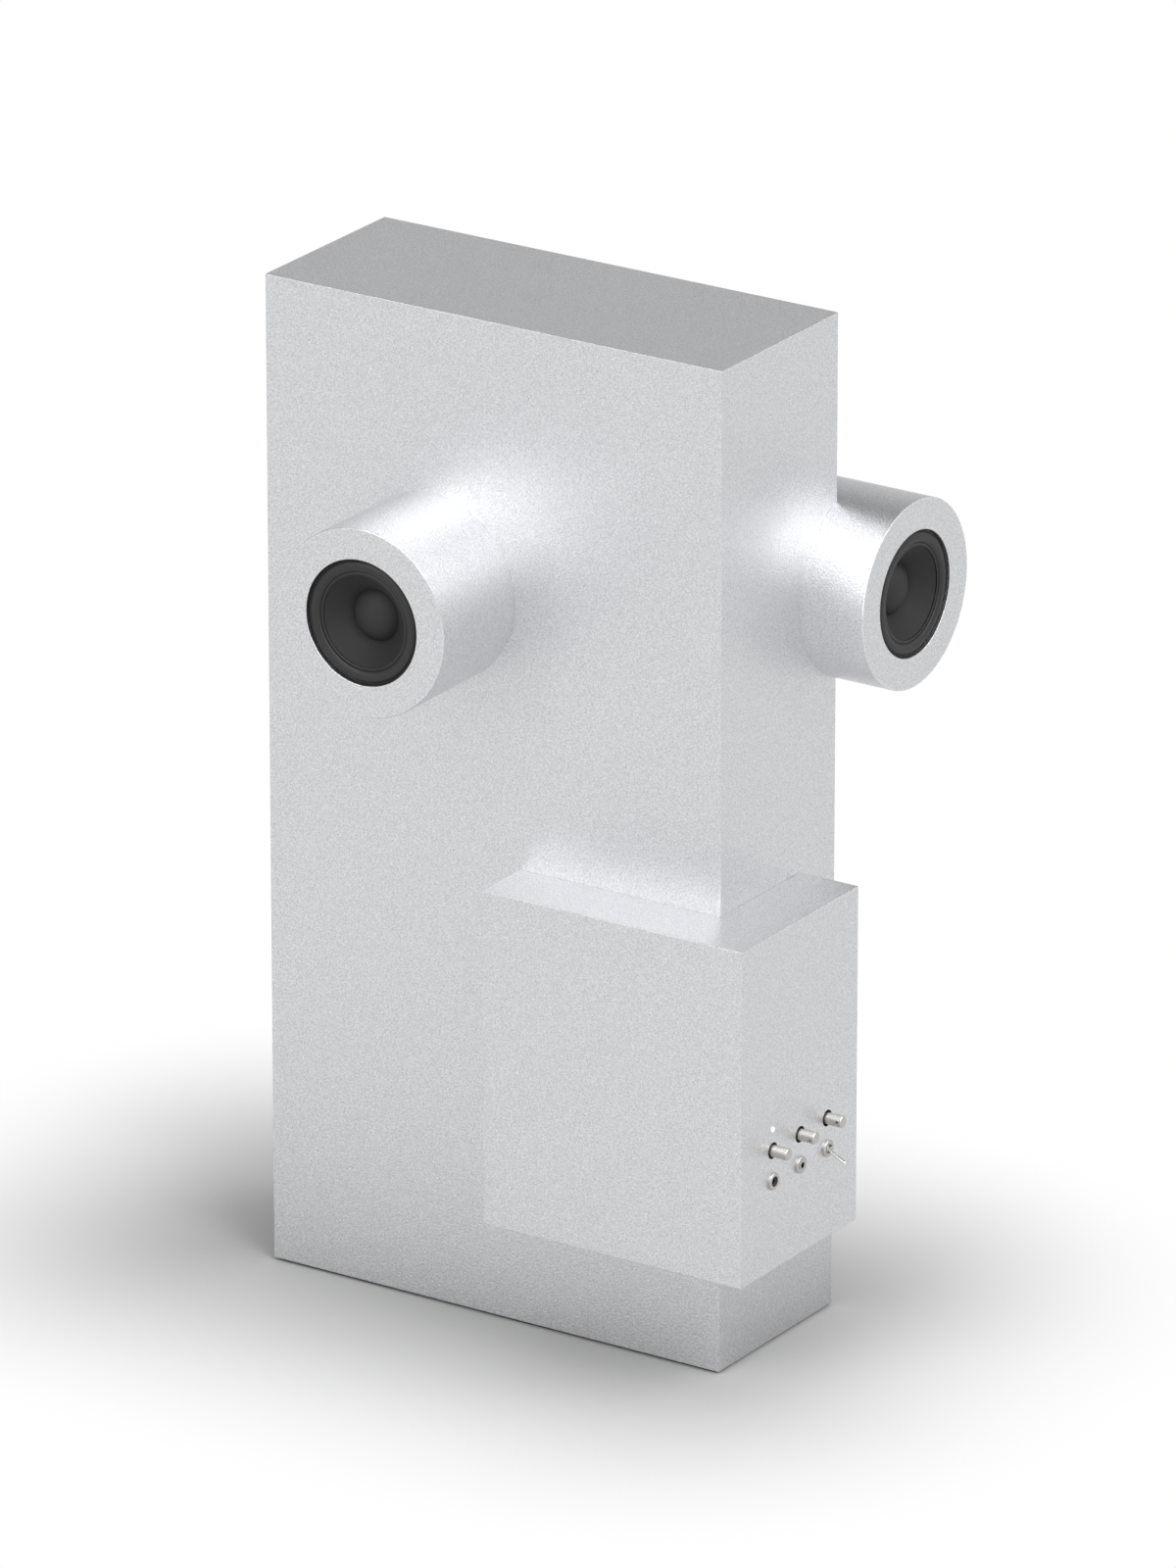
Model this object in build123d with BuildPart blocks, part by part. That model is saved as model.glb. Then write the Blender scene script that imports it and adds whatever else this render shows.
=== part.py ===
from build123d import *
import os
from math import atan2, asin, cos, radians, sin, tan

# Active loudspeaker: a tall upright slab of welded aluminium sheet, two round pods with a
# three-inch drive unit each, and a control housing set through the slab's lower front corner.
# Millimetres. The origin is the centre of the slab's footprint on the floor. +X points to the
# controls and the side pod, +Y to the back and +Z up. The front pod faces -Y.

# Slab
slab_width = 305.0
slab_depth = 120.0
slab_height = 600.0
slab_wall = 4.0
edge_radius = 0.5
weld_gap = 0.05

# Foot: base plate between the slab's walls, and a rubber pad under both
pad_thickness = 1.5
pad_inset = 2.5
base_plate_thickness = 5.0
base_plate_gap = 0.2
block_size = 16.0
block_height = 14.0

# Control housing
housing_width = 173.3
housing_depth = 121.6
housing_height = 203.3
housing_wall = 3.0
housing_rise = 73.8
side_overhang = 39.2
front_overhang = 38.6

# Service opening in the housing's back wall, inside the slab
hatch_opening_width = 84.0
hatch_opening_height = 140.0
hatch_side_gap = 2.1
hatch_lap = 8.0
hatch_thickness = 2.0

# Pods: the ring face is the flat metal between the mouth and the pod's edge
pod_height = 435.3
pod_length = 112.0
pod_wall = 5.0
ring_face = 18.5
mouth_radius = 37.1
lip_thickness = 6.0
front_pod_from_left = 112.0
front_pod_reach = 71.2
side_pod_reach = 40.9
side_pod_behind = 17.9
pod_edge_radius = 0.4

# Disc that closes a pod's back end, in a rebate of the tube
pod_back_thickness = 5.0
pod_back_gap = 0.2
rebate_width = 2.0
boss_radius = 4.5
boss_length = 12.0
lead_hole_radius = 4.0

# Drive unit
mouth_gap = 0.25
flange_width = 8.9
flange_thickness = 3.0
gasket_thickness = 0.8
surround_depth = 2.6
surround_thickness = 0.6
surround_land = 1.65
roll_width = 5.6
roll_height = 1.5
cone_rim = 2.3
cone_depth = 13.4
cone_thickness = 0.5
neck_length = 2.0
dust_cap_radius = 15.0
dust_cap_height = 6.5
glue_gap = 0.05
basket_depth = 20.2
basket_wall = 2.0
basket_foot_radius = 31.8
basket_floor = 2.4
spider_room = 3.1
spider_land = 3.3
spider_thickness = 0.5
pleat_height = 0.9
pleat_count = 3
window_count = 4
window_width = 30.0
window_margin = 1.2

# Magnet system and voice coil
coil_radius = 12.7
former_wall = 0.5
winding_wall = 0.6
winding_height = 9.0
coil_gap = 0.5
top_plate_radius = 30.0
top_plate_thickness = 5.0
magnet_radius = 32.0
magnet_bore_radius = 15.8
magnet_thickness = 10.0
yoke_thickness = 5.0
vent_radius = 4.0

# Controls, measured on the panel from its front bottom corner
first_column = 32.9
column_pitch = 28.65
knob_row = 73.0
socket_row = 54.6
lamp_row = 85.9
knob_radius = 3.5
knob_reach = 10.7
knob_hole_radius = 4.9
knob_tip_chamfer = 0.4
knob_wall_at_tip = 1.2
knob_inside = 2.5
shaft_radius = 1.6
shaft_gap = 0.05
grub_radius = 1.0
grub_from_tip = 2.3
grub_sink = 0.3
pot_width = 9.5
pot_height = 11.4
pot_depth = 6.8
pot_bushing_radius = 3.0
pot_bushing_gap = 0.6
pot_floor = 1.0

# Pointer of each knob, in degrees clockwise from straight down
knob_pointers = {"volume": 232.0, "bass": 70.0, "treble": 95.0}

# Sockets and toggle, held by round nuts outside the panel
barrel_radius = 3.0
barrel_hole_gap = 0.1
nut_radius = 5.05
nut_thickness = 1.5
nut_chamfer = 0.3
body_width = 8.0
body_height = 10.0
body_depth = 11.5
audio_hole_radius = 1.8
audio_hole_depth = 14.0
audio_proud = 1.8
power_hole_radius = 1.9
power_hole_depth = 9.5
power_pin_radius = 0.65
power_pin_length = 8.5
power_proud = 0.4
lever_tilt = 27.0
lever_length = 15.0
lever_tip_radius = 1.15
lever_neck_radius = 0.85
lever_ball_radius = 1.7
lever_tail_length = 3.4
lever_tail_radius = 0.7
lever_room = 0.15
toggle_proud = 1.8
toggle_mouth_radius = 2.6
toggle_pivot_depth = 2.6
lamp_radius = 1.5
lamp_gap = 0.05
lamp_proud = 0.3

# Control board behind the panel
board_gap = 14.0
board_width = 96.0
board_height = 52.0
board_thickness = 1.6
board_middle_row = 66.0
post_radius = 3.0
post_inset = 5.0

# Amplifier board on posts at the housing's front wall
amplifier_width = 120.0
amplifier_height = 150.0
amplifier_post_length = 8.0
amplifier_from_left = 68.0
sink_width = 60.0
sink_height = 90.0
sink_base = 4.0
fin_length = 18.0
fin_thickness = 2.0
fin_count = 7
capacitor_radius = 9.0
capacitor_height = 32.0
capacitor_pitch = 26.0
capacitor_drop = 55.0

# Driver leads, their terminal blocks, and the grommets where they pass a plate
lead_radius = 2.0
lead_bend_share = 0.45
lead_turn_share = 7 / 13
lead_drop = 24.0
lead_wall_gap = 5.0
lead_straight_inside = 15.0
lead_straight_outside = 23.0
terminal_width = 8.0
terminal_span = 6.0
terminal_depth = 6.0
terminal_margin = 1.4
board_terminal_depth = 10.0
board_terminal_pitch = 14.0
board_terminal_rise = 61.0
board_terminal_shift = 33.4
grommet_flange = 1.5
grommet_lip = 1.0
grommet_gap = 0.3
hatch_lead_pitch = 22.0
hatch_lead_rise = 45.0
hatch_lead_shift = 23.4

# Screws: shank radius, head radius of the countersunk and of the flat heads
screw_radius = 1.5
countersunk_radius = 2.9
flat_head_radius = 2.75
flat_head_height = 2.0
thread_gap = 0.05
screw_clearance = 0.2
head_clearance = 0.1
hexagon_radius = 1.1
hexagon_depth = 0.9
thread_length = 4.0


# Derived sizes and places

slab_bottom = pad_thickness
pod_radius = mouth_radius + ring_face
pod_bore_radius = pod_radius - pod_wall
pod_axis_height = slab_bottom + pod_height
panel_x = slab_width / 2 + side_overhang
housing_left = panel_x - housing_width
housing_front = -slab_depth / 2 - front_overhang
housing_bottom = slab_bottom + housing_rise
housing_middle = Plane(
    origin=(housing_left + housing_width / 2, housing_front + housing_depth / 2, housing_bottom)
)

# Each pod's seat lies on its ring face, with Z out along the pod's axis
front_seat = Plane(
    origin=(front_pod_from_left - slab_width / 2, -slab_depth / 2 - front_pod_reach, pod_axis_height),
    x_dir=(1, 0, 0),
    z_dir=(0, -1, 0),
)
side_seat = Plane(
    origin=(slab_width / 2 + side_pod_reach, slab_depth / 2 + side_pod_behind, pod_axis_height),
    x_dir=(0, -1, 0),
    z_dir=(1, 0, 0),
)
seats = {"front": front_seat, "side": side_seat}
flange_radius = mouth_radius + flange_width
terminal_circle = flange_radius - terminal_margin - terminal_span / 2

# The panel plane has X to the back and Y up, from the panel's front bottom corner
panel = Plane(origin=(panel_x, housing_front, housing_bottom), x_dir=(0, 1, 0), z_dir=(1, 0, 0))


def seat_on(plane, across, up):
    """Plane parallel to another one, with its origin at a point of it."""
    return Plane(
        origin=plane.from_local_coords((across, up, 0)), x_dir=plane.x_dir, z_dir=plane.z_dir
    )


def section_of(seat):
    """Plane through a seat's axis: X runs outwards from the axis and Y along it."""
    return Plane(origin=seat.origin, x_dir=seat.x_dir, z_dir=-seat.y_dir)


def axis_of(seat):
    return Axis(seat.origin, seat.z_dir)


def column(number):
    return first_column + number * column_pitch


os.makedirs("parts", exist_ok=True)

# Slab shell: a box open at the bottom, with blocks for the base plate's screws

block_pitch_x = (slab_width - 2 * slab_wall - block_size) / 2
block_pitch_y = slab_depth - 2 * slab_wall - block_size

with BuildPart() as slab_shell:
    with BuildSketch(Plane.XY.offset(slab_bottom)):
        Rectangle(slab_width, slab_depth)
    extrude(amount=slab_height)
    fillet(slab_shell.edges(), radius=edge_radius)
    with BuildSketch(Plane.XY.offset(slab_bottom)):
        Rectangle(slab_width - 2 * slab_wall, slab_depth - 2 * slab_wall)
    extrude(amount=slab_height - slab_wall, mode=Mode.SUBTRACT)
    with BuildSketch(Plane.XY.offset(slab_bottom + base_plate_thickness)):
        with GridLocations(block_pitch_x, block_pitch_y, 3, 2):
            Rectangle(block_size, block_size)
    extrude(amount=block_height)
    with BuildSketch(Plane.XY.offset(slab_bottom + base_plate_thickness)):
        with GridLocations(block_pitch_x, block_pitch_y, 3, 2):
            Circle(screw_radius + thread_gap)
    extrude(amount=block_height, mode=Mode.SUBTRACT)
    # Opening for the front pod, in the wide face alone
    with BuildSketch(front_seat.offset(-front_pod_reach)):
        Circle(pod_radius + weld_gap)
    extrude(amount=-slab_wall, mode=Mode.SUBTRACT)
    # Notch for the side pod, through the narrow face and the back
    with BuildSketch(side_seat):
        Circle(pod_radius + weld_gap)
    extrude(amount=-(pod_length + weld_gap), mode=Mode.SUBTRACT)
    # Notch for the control housing, through the wide and the narrow face
    with BuildSketch(housing_middle.offset(-weld_gap)):
        Rectangle(housing_width + 2 * weld_gap, housing_depth + 2 * weld_gap)
    extrude(amount=housing_height + 2 * weld_gap, mode=Mode.SUBTRACT)
slab_shell.part.label = "slab_shell"
export_step(slab_shell.part, "parts/slab_shell.step")

# Base plate, flush with the bottom of the walls

plate_width = slab_width - 2 * slab_wall - 2 * base_plate_gap
plate_depth = slab_depth - 2 * slab_wall - 2 * base_plate_gap
underside = Plane(origin=(0, 0, slab_bottom), x_dir=(1, 0, 0), z_dir=(0, 0, -1))

with BuildPart() as base_plate:
    with BuildSketch(Plane.XY.offset(slab_bottom)):
        Rectangle(plate_width, plate_depth)
    extrude(amount=base_plate_thickness)
    with Locations(underside):
        with GridLocations(block_pitch_x, block_pitch_y, 3, 2):
            CounterSinkHole(
                radius=screw_radius + screw_clearance,
                counter_sink_radius=countersunk_radius + head_clearance,
                depth=base_plate_thickness,
                counter_sink_angle=90,
            )
base_plate.part.label = "base_plate"
export_step(base_plate.part, "parts/base_plate.step")

with BuildPart() as base_plate_screws:
    with BuildSketch(Plane.XY.offset(slab_bottom)):
        with GridLocations(block_pitch_x, block_pitch_y, 3, 2):
            Circle(countersunk_radius)
    extrude(amount=countersunk_radius - screw_radius, taper=45)
    with BuildSketch(Plane.XY.offset(slab_bottom)):
        with GridLocations(block_pitch_x, block_pitch_y, 3, 2):
            Circle(screw_radius)
    extrude(amount=base_plate_thickness + block_height - thread_length)
base_plate_screws.part.label = "base_plate_screws"
export_step(base_plate_screws.part, "parts/base_plate_screws.step")

with BuildPart() as base_pad:
    with BuildSketch():
        RectangleRounded(slab_width - 2 * pad_inset, slab_depth - 2 * pad_inset, pad_inset)
    extrude(amount=pad_thickness)
base_pad.part.label = "base_pad"
export_step(base_pad.part, "parts/base_pad.step")

# Control housing: closed welded box with its board posts, panel holes and service opening

board_face = panel.offset(-housing_wall - board_gap)
board_middle = seat_on(board_face, column(1), board_middle_row)
post_pitch_x = board_width - 2 * post_inset
post_pitch_y = board_height - 2 * post_inset

# Planes on the inside of the front wall and on the outside of the back wall, X to the right
front_wall = Plane(
    origin=(housing_left, housing_front + housing_wall, housing_bottom),
    x_dir=(-1, 0, 0),
    z_dir=(0, 1, 0),
)
amplifier_middle = seat_on(front_wall, -amplifier_from_left, housing_height / 2)
amplifier_pitch_x = amplifier_width - 2 * post_inset
amplifier_pitch_y = amplifier_height - 2 * post_inset
hatch_right = slab_width / 2 - slab_wall - hatch_side_gap
hatch_middle = seat_on(
    front_wall.offset(housing_depth - housing_wall),
    housing_left - hatch_right + hatch_lap + hatch_opening_width / 2,
    housing_height / 2,
)
hatch_pitch_x = hatch_opening_width + hatch_lap
hatch_pitch_y = hatch_opening_height + hatch_lap
hatch_lead_middle = seat_on(hatch_middle, hatch_lead_shift, hatch_lead_rise)

with BuildPart() as control_housing:
    with BuildSketch(housing_middle):
        Rectangle(housing_width, housing_depth)
    extrude(amount=housing_height)
    fillet(control_housing.edges(), radius=edge_radius)
    with BuildSketch(housing_middle.offset(housing_wall)):
        Rectangle(housing_width - 2 * housing_wall, housing_depth - 2 * housing_wall)
    extrude(amount=housing_height - 2 * housing_wall, mode=Mode.SUBTRACT)
    # Service opening and its screw holes
    with BuildSketch(hatch_middle):
        Rectangle(hatch_opening_width, hatch_opening_height)
        with GridLocations(hatch_pitch_x, hatch_pitch_y, 2, 2):
            Circle(screw_radius + thread_gap)
    extrude(amount=-housing_wall, mode=Mode.SUBTRACT)
    # Posts for the two boards
    with BuildSketch(board_middle):
        with GridLocations(post_pitch_x, post_pitch_y, 2, 2):
            Circle(post_radius)
    extrude(amount=board_gap)
    with BuildSketch(amplifier_middle):
        with GridLocations(amplifier_pitch_x, amplifier_pitch_y, 2, 2):
            Circle(post_radius)
    extrude(amount=amplifier_post_length)
    with BuildSketch(board_middle):
        with GridLocations(post_pitch_x, post_pitch_y, 2, 2):
            Circle(screw_radius + thread_gap)
    extrude(amount=board_gap, mode=Mode.SUBTRACT)
    with BuildSketch(amplifier_middle.offset(amplifier_post_length)):
        with GridLocations(amplifier_pitch_x, amplifier_pitch_y, 2, 2):
            Circle(screw_radius + thread_gap)
    extrude(amount=-amplifier_post_length, mode=Mode.SUBTRACT)
    # Holes in the panel: knobs above, barrels below, the lamp over the first knob
    with BuildSketch(panel):
        with Locations(*[(column(number), knob_row) for number in range(3)]):
            Circle(knob_hole_radius)
        with Locations(*[(column(number), socket_row) for number in range(3)]):
            Circle(barrel_radius + barrel_hole_gap)
        with Locations((column(0), lamp_row)):
            Circle(lamp_radius + lamp_gap)
    extrude(amount=-housing_wall, mode=Mode.SUBTRACT)
control_housing.part.label = "control_housing"
export_step(control_housing.part, "parts/control_housing.step")

with BuildPart() as housing_hatch:
    with BuildSketch(hatch_middle):
        Rectangle(hatch_opening_width + 2 * hatch_lap, hatch_opening_height + 2 * hatch_lap)
        with GridLocations(hatch_pitch_x, hatch_pitch_y, 2, 2):
            Circle(screw_radius + screw_clearance, mode=Mode.SUBTRACT)
    extrude(amount=hatch_thickness)
    with BuildSketch(hatch_lead_middle):
        with GridLocations(hatch_lead_pitch, 0, 2, 1):
            Circle(lead_hole_radius)
    extrude(amount=hatch_thickness, mode=Mode.SUBTRACT)
housing_hatch.part.label = "housing_hatch"
export_step(housing_hatch.part, "parts/housing_hatch.step")

with BuildPart() as housing_hatch_screws:
    with BuildSketch(hatch_middle.offset(hatch_thickness)):
        with GridLocations(hatch_pitch_x, hatch_pitch_y, 2, 2):
            Circle(flat_head_radius)
    extrude(amount=flat_head_height)
    with BuildSketch(hatch_middle.offset(hatch_thickness)):
        with GridLocations(hatch_pitch_x, hatch_pitch_y, 2, 2):
            Circle(screw_radius)
    extrude(amount=-(hatch_thickness + housing_wall))
housing_hatch_screws.part.label = "housing_hatch_screws"
export_step(housing_hatch_screws.part, "parts/housing_hatch_screws.step")

# Pods: turned tubes with the ring face in one piece, and a rebate and bosses for the back disc

driver_screw_radius = mouth_radius + (flange_width + mouth_gap) / 2
boss_circle = pod_bore_radius - boss_radius + screw_radius
rebate_radius = pod_bore_radius + rebate_width

for unit, seat in seats.items():
    with BuildPart() as pod:
        with BuildSketch(section_of(seat)):
            with BuildLine():
                Polyline(
                    (mouth_radius, 0),
                    (pod_radius, 0),
                    (pod_radius, -pod_length),
                    (rebate_radius, -pod_length),
                    (rebate_radius, -pod_length + pod_back_thickness),
                    (pod_bore_radius, -pod_length + pod_back_thickness),
                    (pod_bore_radius, -lip_thickness),
                    (mouth_radius, -lip_thickness),
                    close=True,
                )
            make_face()
        revolve(axis=axis_of(seat))
        rims = pod.edges().filter_by(GeomType.CIRCLE)
        outer_rims = rims.filter_by(lambda rim: rim.radius > pod_radius - weld_gap)
        mouth_rim = rims.filter_by(lambda rim: rim.radius < mouth_radius + weld_gap)
        front_mouth = mouth_rim.sort_by(axis_of(seat))[-1]
        fillet([*outer_rims, front_mouth], radius=pod_edge_radius)
        # Bosses for the back disc's screws, along the bore
        with BuildSketch(seat.offset(-pod_length + pod_back_thickness)):
            Circle(pod_bore_radius)
            Circle(boss_circle - boss_radius, mode=Mode.SUBTRACT)
            with PolarLocations(boss_circle, 4, start_angle=45):
                Circle(boss_radius, mode=Mode.INTERSECT)
        extrude(amount=boss_length)
        with BuildSketch(seat.offset(-pod_length + pod_back_thickness)):
            with PolarLocations(boss_circle, 4, start_angle=45):
                Circle(screw_radius + thread_gap)
        extrude(amount=boss_length, mode=Mode.SUBTRACT)
        # Blind holes for the drive unit's screws, in the back of the ring face
        with BuildSketch(seat.offset(-lip_thickness)):
            with PolarLocations(driver_screw_radius, 4, start_angle=45):
                Circle(screw_radius + thread_gap)
        extrude(amount=thread_length, mode=Mode.SUBTRACT)
    pod.part.label = f"{unit}_pod"
    export_step(pod.part, f"parts/{unit}_pod.step")

    back_face = seat.offset(-pod_length)
    with BuildPart() as pod_back:
        with BuildSketch(back_face):
            Circle(rebate_radius - pod_back_gap)
            with Locations((terminal_circle, 0)):
                Circle(lead_hole_radius, mode=Mode.SUBTRACT)
        extrude(amount=pod_back_thickness)
        with Locations(Plane(origin=back_face.origin, x_dir=back_face.x_dir, z_dir=-back_face.z_dir)):
            with PolarLocations(boss_circle, 4, start_angle=45):
                CounterSinkHole(
                    radius=screw_radius + screw_clearance,
                    counter_sink_radius=countersunk_radius + head_clearance,
                    depth=pod_back_thickness,
                    counter_sink_angle=90,
                )
    pod_back.part.label = f"{unit}_pod_back"
    export_step(pod_back.part, f"parts/{unit}_pod_back.step")

with BuildPart() as pod_back_screws:
    for seat in seats.values():
        back_face = seat.offset(-pod_length)
        with BuildSketch(back_face):
            with PolarLocations(boss_circle, 4, start_angle=45):
                Circle(countersunk_radius)
        extrude(amount=countersunk_radius - screw_radius, taper=45)
        with BuildSketch(back_face):
            with PolarLocations(boss_circle, 4, start_angle=45):
                Circle(screw_radius)
        extrude(amount=pod_back_thickness + boss_length - thread_length)
        with BuildSketch(back_face):
            with PolarLocations(boss_circle, 4, start_angle=45):
                RegularPolygon(hexagon_radius, 6)
        extrude(amount=hexagon_depth, mode=Mode.SUBTRACT)
pod_back_screws.part.label = "pod_back_screws"
export_step(pod_back_screws.part, "parts/pod_back_screws.step")

# Drive units. Depths are negative along the seat's axis, from the ring face into the pod.

collar_radius = mouth_radius - mouth_gap
collar_inner = collar_radius - surround_land
cone_edge = collar_inner - roll_width
rim_inner = cone_edge - cone_rim
collar_front = -surround_depth - surround_thickness
flange_front = -lip_thickness - gasket_thickness
flange_back = flange_front - flange_thickness
basket_back = flange_front - basket_depth
floor_front = basket_back + basket_floor
ledge_front = floor_front + spider_room
foot_inner = basket_foot_radius - basket_wall
ledge_inner = foot_inner - spider_land

former_radius = coil_radius + former_wall
winding_radius = former_radius + winding_wall
gap_radius = winding_radius + coil_gap
pole_radius = coil_radius - coil_gap
neck_radius = former_radius + glue_gap
neck_front = collar_front - cone_depth
cone_slope = cone_depth / (rim_inner - neck_radius)
cone_drop = cone_thickness / cos(atan2(cone_depth, rim_inner - neck_radius))
cap_rim = collar_front - (rim_inner - dust_cap_radius) * cone_slope + glue_gap
top_plate_back = basket_back - top_plate_thickness
magnet_back = top_plate_back - magnet_thickness
yoke_back = magnet_back - yoke_thickness
winding_front = basket_back - top_plate_thickness / 2 + winding_height / 2
window_height = flange_back - ledge_front - 2 * window_margin


def dome_line(rim_radius, rim, height):
    """Arc of a domed cap's section, from its crown on the axis to its rim."""
    dome_radius = (rim_radius**2 + height**2) / (2 * height)
    half_angle = asin(rim_radius / dome_radius) / 2
    middle = (
        dome_radius * sin(half_angle),
        rim + height - dome_radius * (1 - cos(half_angle)),
    )
    return ThreePointArc((0, rim + height), middle, (rim_radius, rim))


for unit, seat in seats.items():
    section = section_of(seat)
    axis = axis_of(seat)

    with BuildPart() as basket:
        with BuildSketch(section):
            with BuildLine():
                Polyline(
                    (collar_inner, collar_front),
                    (collar_radius, collar_front),
                    (collar_radius, flange_front),
                    (flange_radius, flange_front),
                    (flange_radius, flange_back),
                    (collar_inner + basket_wall, flange_back),
                    (basket_foot_radius, ledge_front),
                    (basket_foot_radius, basket_back),
                    (gap_radius, basket_back),
                    (gap_radius, floor_front),
                    (ledge_inner, floor_front),
                    (ledge_inner, ledge_front),
                    (foot_inner, ledge_front),
                    (collar_inner, flange_back),
                    close=True,
                )
            make_face()
        revolve(axis=axis)
        with BuildSketch(seat.offset(ledge_front + window_margin)):
            with PolarLocations(basket_foot_radius, window_count):
                Rectangle(2 * (basket_foot_radius - ledge_inner), window_width)
        extrude(amount=window_height, mode=Mode.SUBTRACT)
        with BuildSketch(seat.offset(flange_back)):
            with PolarLocations(driver_screw_radius, 4, start_angle=45):
                Circle(screw_radius + screw_clearance)
        extrude(amount=flange_thickness, mode=Mode.SUBTRACT)
    basket.part.label = f"{unit}_basket"
    export_step(basket.part, f"parts/{unit}_basket.step")

    with BuildPart() as gasket:
        with BuildSketch(seat.offset(flange_front)):
            Circle(flange_radius)
            Circle(mouth_radius, mode=Mode.SUBTRACT)
            with PolarLocations(driver_screw_radius, 4, start_angle=45):
                Circle(screw_radius + screw_clearance, mode=Mode.SUBTRACT)
        extrude(amount=gasket_thickness)
    gasket.part.label = f"{unit}_gasket"
    export_step(gasket.part, f"parts/{unit}_gasket.step")

    # Half roll between two flat lands, glued to the collar and to the cone's rim
    with BuildPart() as surround:
        with BuildSketch(section):
            with BuildLine():
                Polyline(
                    (cone_edge, -surround_depth),
                    (rim_inner, -surround_depth),
                    (rim_inner, collar_front),
                    (cone_edge + surround_thickness, collar_front),
                )
                ThreePointArc(
                    (cone_edge + surround_thickness, collar_front),
                    (cone_edge + roll_width / 2, collar_front + roll_height),
                    (collar_inner - surround_thickness, collar_front),
                )
                Polyline(
                    (collar_inner - surround_thickness, collar_front),
                    (collar_radius, collar_front),
                    (collar_radius, -surround_depth),
                    (collar_inner, -surround_depth),
                )
                ThreePointArc(
                    (collar_inner, -surround_depth),
                    (cone_edge + roll_width / 2, -surround_depth + roll_height),
                    (cone_edge, -surround_depth),
                )
            make_face()
        revolve(axis=axis)
    surround.part.label = f"{unit}_surround"
    export_step(surround.part, f"parts/{unit}_surround.step")

    with BuildPart() as cone:
        with BuildSketch(section):
            with BuildLine():
                Polyline(
                    (cone_edge, collar_front),
                    (rim_inner, collar_front),
                    (neck_radius, neck_front),
                    (neck_radius, neck_front - neck_length),
                    (neck_radius + cone_thickness, neck_front - neck_length),
                    (neck_radius + cone_thickness, neck_front + cone_thickness * cone_slope - cone_drop),
                    (rim_inner + (cone_drop - cone_thickness) / cone_slope, collar_front - cone_thickness),
                    (cone_edge, collar_front - cone_thickness),
                    close=True,
                )
            make_face()
        revolve(axis=axis)
    cone.part.label = f"{unit}_cone"
    export_step(cone.part, f"parts/{unit}_cone.step")

    with BuildPart() as dust_cap:
        with BuildSketch(section):
            with BuildLine():
                dome_line(dust_cap_radius, cap_rim, dust_cap_height)
                Line((dust_cap_radius, cap_rim), (dust_cap_radius - cone_thickness, cap_rim))
                dome_line(dust_cap_radius - cone_thickness, cap_rim, dust_cap_height - cone_thickness)
                Line((0, cap_rim + dust_cap_height - cone_thickness), (0, cap_rim + dust_cap_height))
            make_face()
        revolve(axis=axis)
    dust_cap.part.label = f"{unit}_dust_cap"
    export_step(dust_cap.part, f"parts/{unit}_dust_cap.step")

    # Pleated disc between the basket's ledge and the voice coil
    spider_front = ledge_front + spider_thickness
    pleat_outer = ledge_inner
    pleat_inner = neck_radius + cone_rim
    pleat_width = (pleat_outer - pleat_inner) / (2 * pleat_count)
    pleats = [
        (pleat_outer - (step + 0.5) * pleat_width, pleat_height * (1 if step % 2 == 0 else -1))
        for step in range(2 * pleat_count)
    ]
    ridge_line = [
        (foot_inner - weld_gap, 0),
        (pleat_outer, 0),
        *pleats,
        (pleat_inner, 0),
        (neck_radius, 0),
    ]
    with BuildPart() as spider:
        with BuildSketch(section):
            with BuildLine():
                Polyline(
                    *[(radius, spider_front + rise) for radius, rise in ridge_line],
                    *[(radius, ledge_front + rise) for radius, rise in reversed(ridge_line)],
                    close=True,
                )
            make_face()
        revolve(axis=axis)
    spider.part.label = f"{unit}_spider"
    export_step(spider.part, f"parts/{unit}_spider.step")

    with BuildPart() as voice_coil:
        with BuildSketch(section):
            with BuildLine():
                Polyline(
                    (coil_radius, neck_front + glue_gap),
                    (former_radius, neck_front + glue_gap),
                    (former_radius, winding_front),
                    (winding_radius, winding_front),
                    (winding_radius, winding_front - winding_height),
                    (coil_radius, winding_front - winding_height),
                    close=True,
                )
            make_face()
        revolve(axis=axis)
    voice_coil.part.label = f"{unit}_voice_coil"
    export_step(voice_coil.part, f"parts/{unit}_voice_coil.step")

    with BuildPart() as top_plate:
        with BuildSketch(seat.offset(top_plate_back)):
            Circle(top_plate_radius)
            Circle(gap_radius, mode=Mode.SUBTRACT)
        extrude(amount=top_plate_thickness)
    top_plate.part.label = f"{unit}_top_plate"
    export_step(top_plate.part, f"parts/{unit}_top_plate.step")

    with BuildPart() as magnet:
        with BuildSketch(seat.offset(magnet_back)):
            Circle(magnet_radius)
            Circle(magnet_bore_radius, mode=Mode.SUBTRACT)
        extrude(amount=magnet_thickness)
    magnet.part.label = f"{unit}_magnet"
    export_step(magnet.part, f"parts/{unit}_magnet.step")

    # Back plate and pole piece in one, with a vent through the pole
    with BuildPart() as yoke:
        with BuildSketch(seat.offset(yoke_back)):
            Circle(top_plate_radius)
        extrude(amount=yoke_thickness)
        with BuildSketch(seat.offset(magnet_back)):
            Circle(pole_radius)
        extrude(amount=magnet_thickness + top_plate_thickness)
        with BuildSketch(seat.offset(yoke_back)):
            Circle(vent_radius)
        extrude(amount=yoke_thickness + magnet_thickness + top_plate_thickness, mode=Mode.SUBTRACT)
    yoke.part.label = f"{unit}_yoke"
    export_step(yoke.part, f"parts/{unit}_yoke.step")

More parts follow.
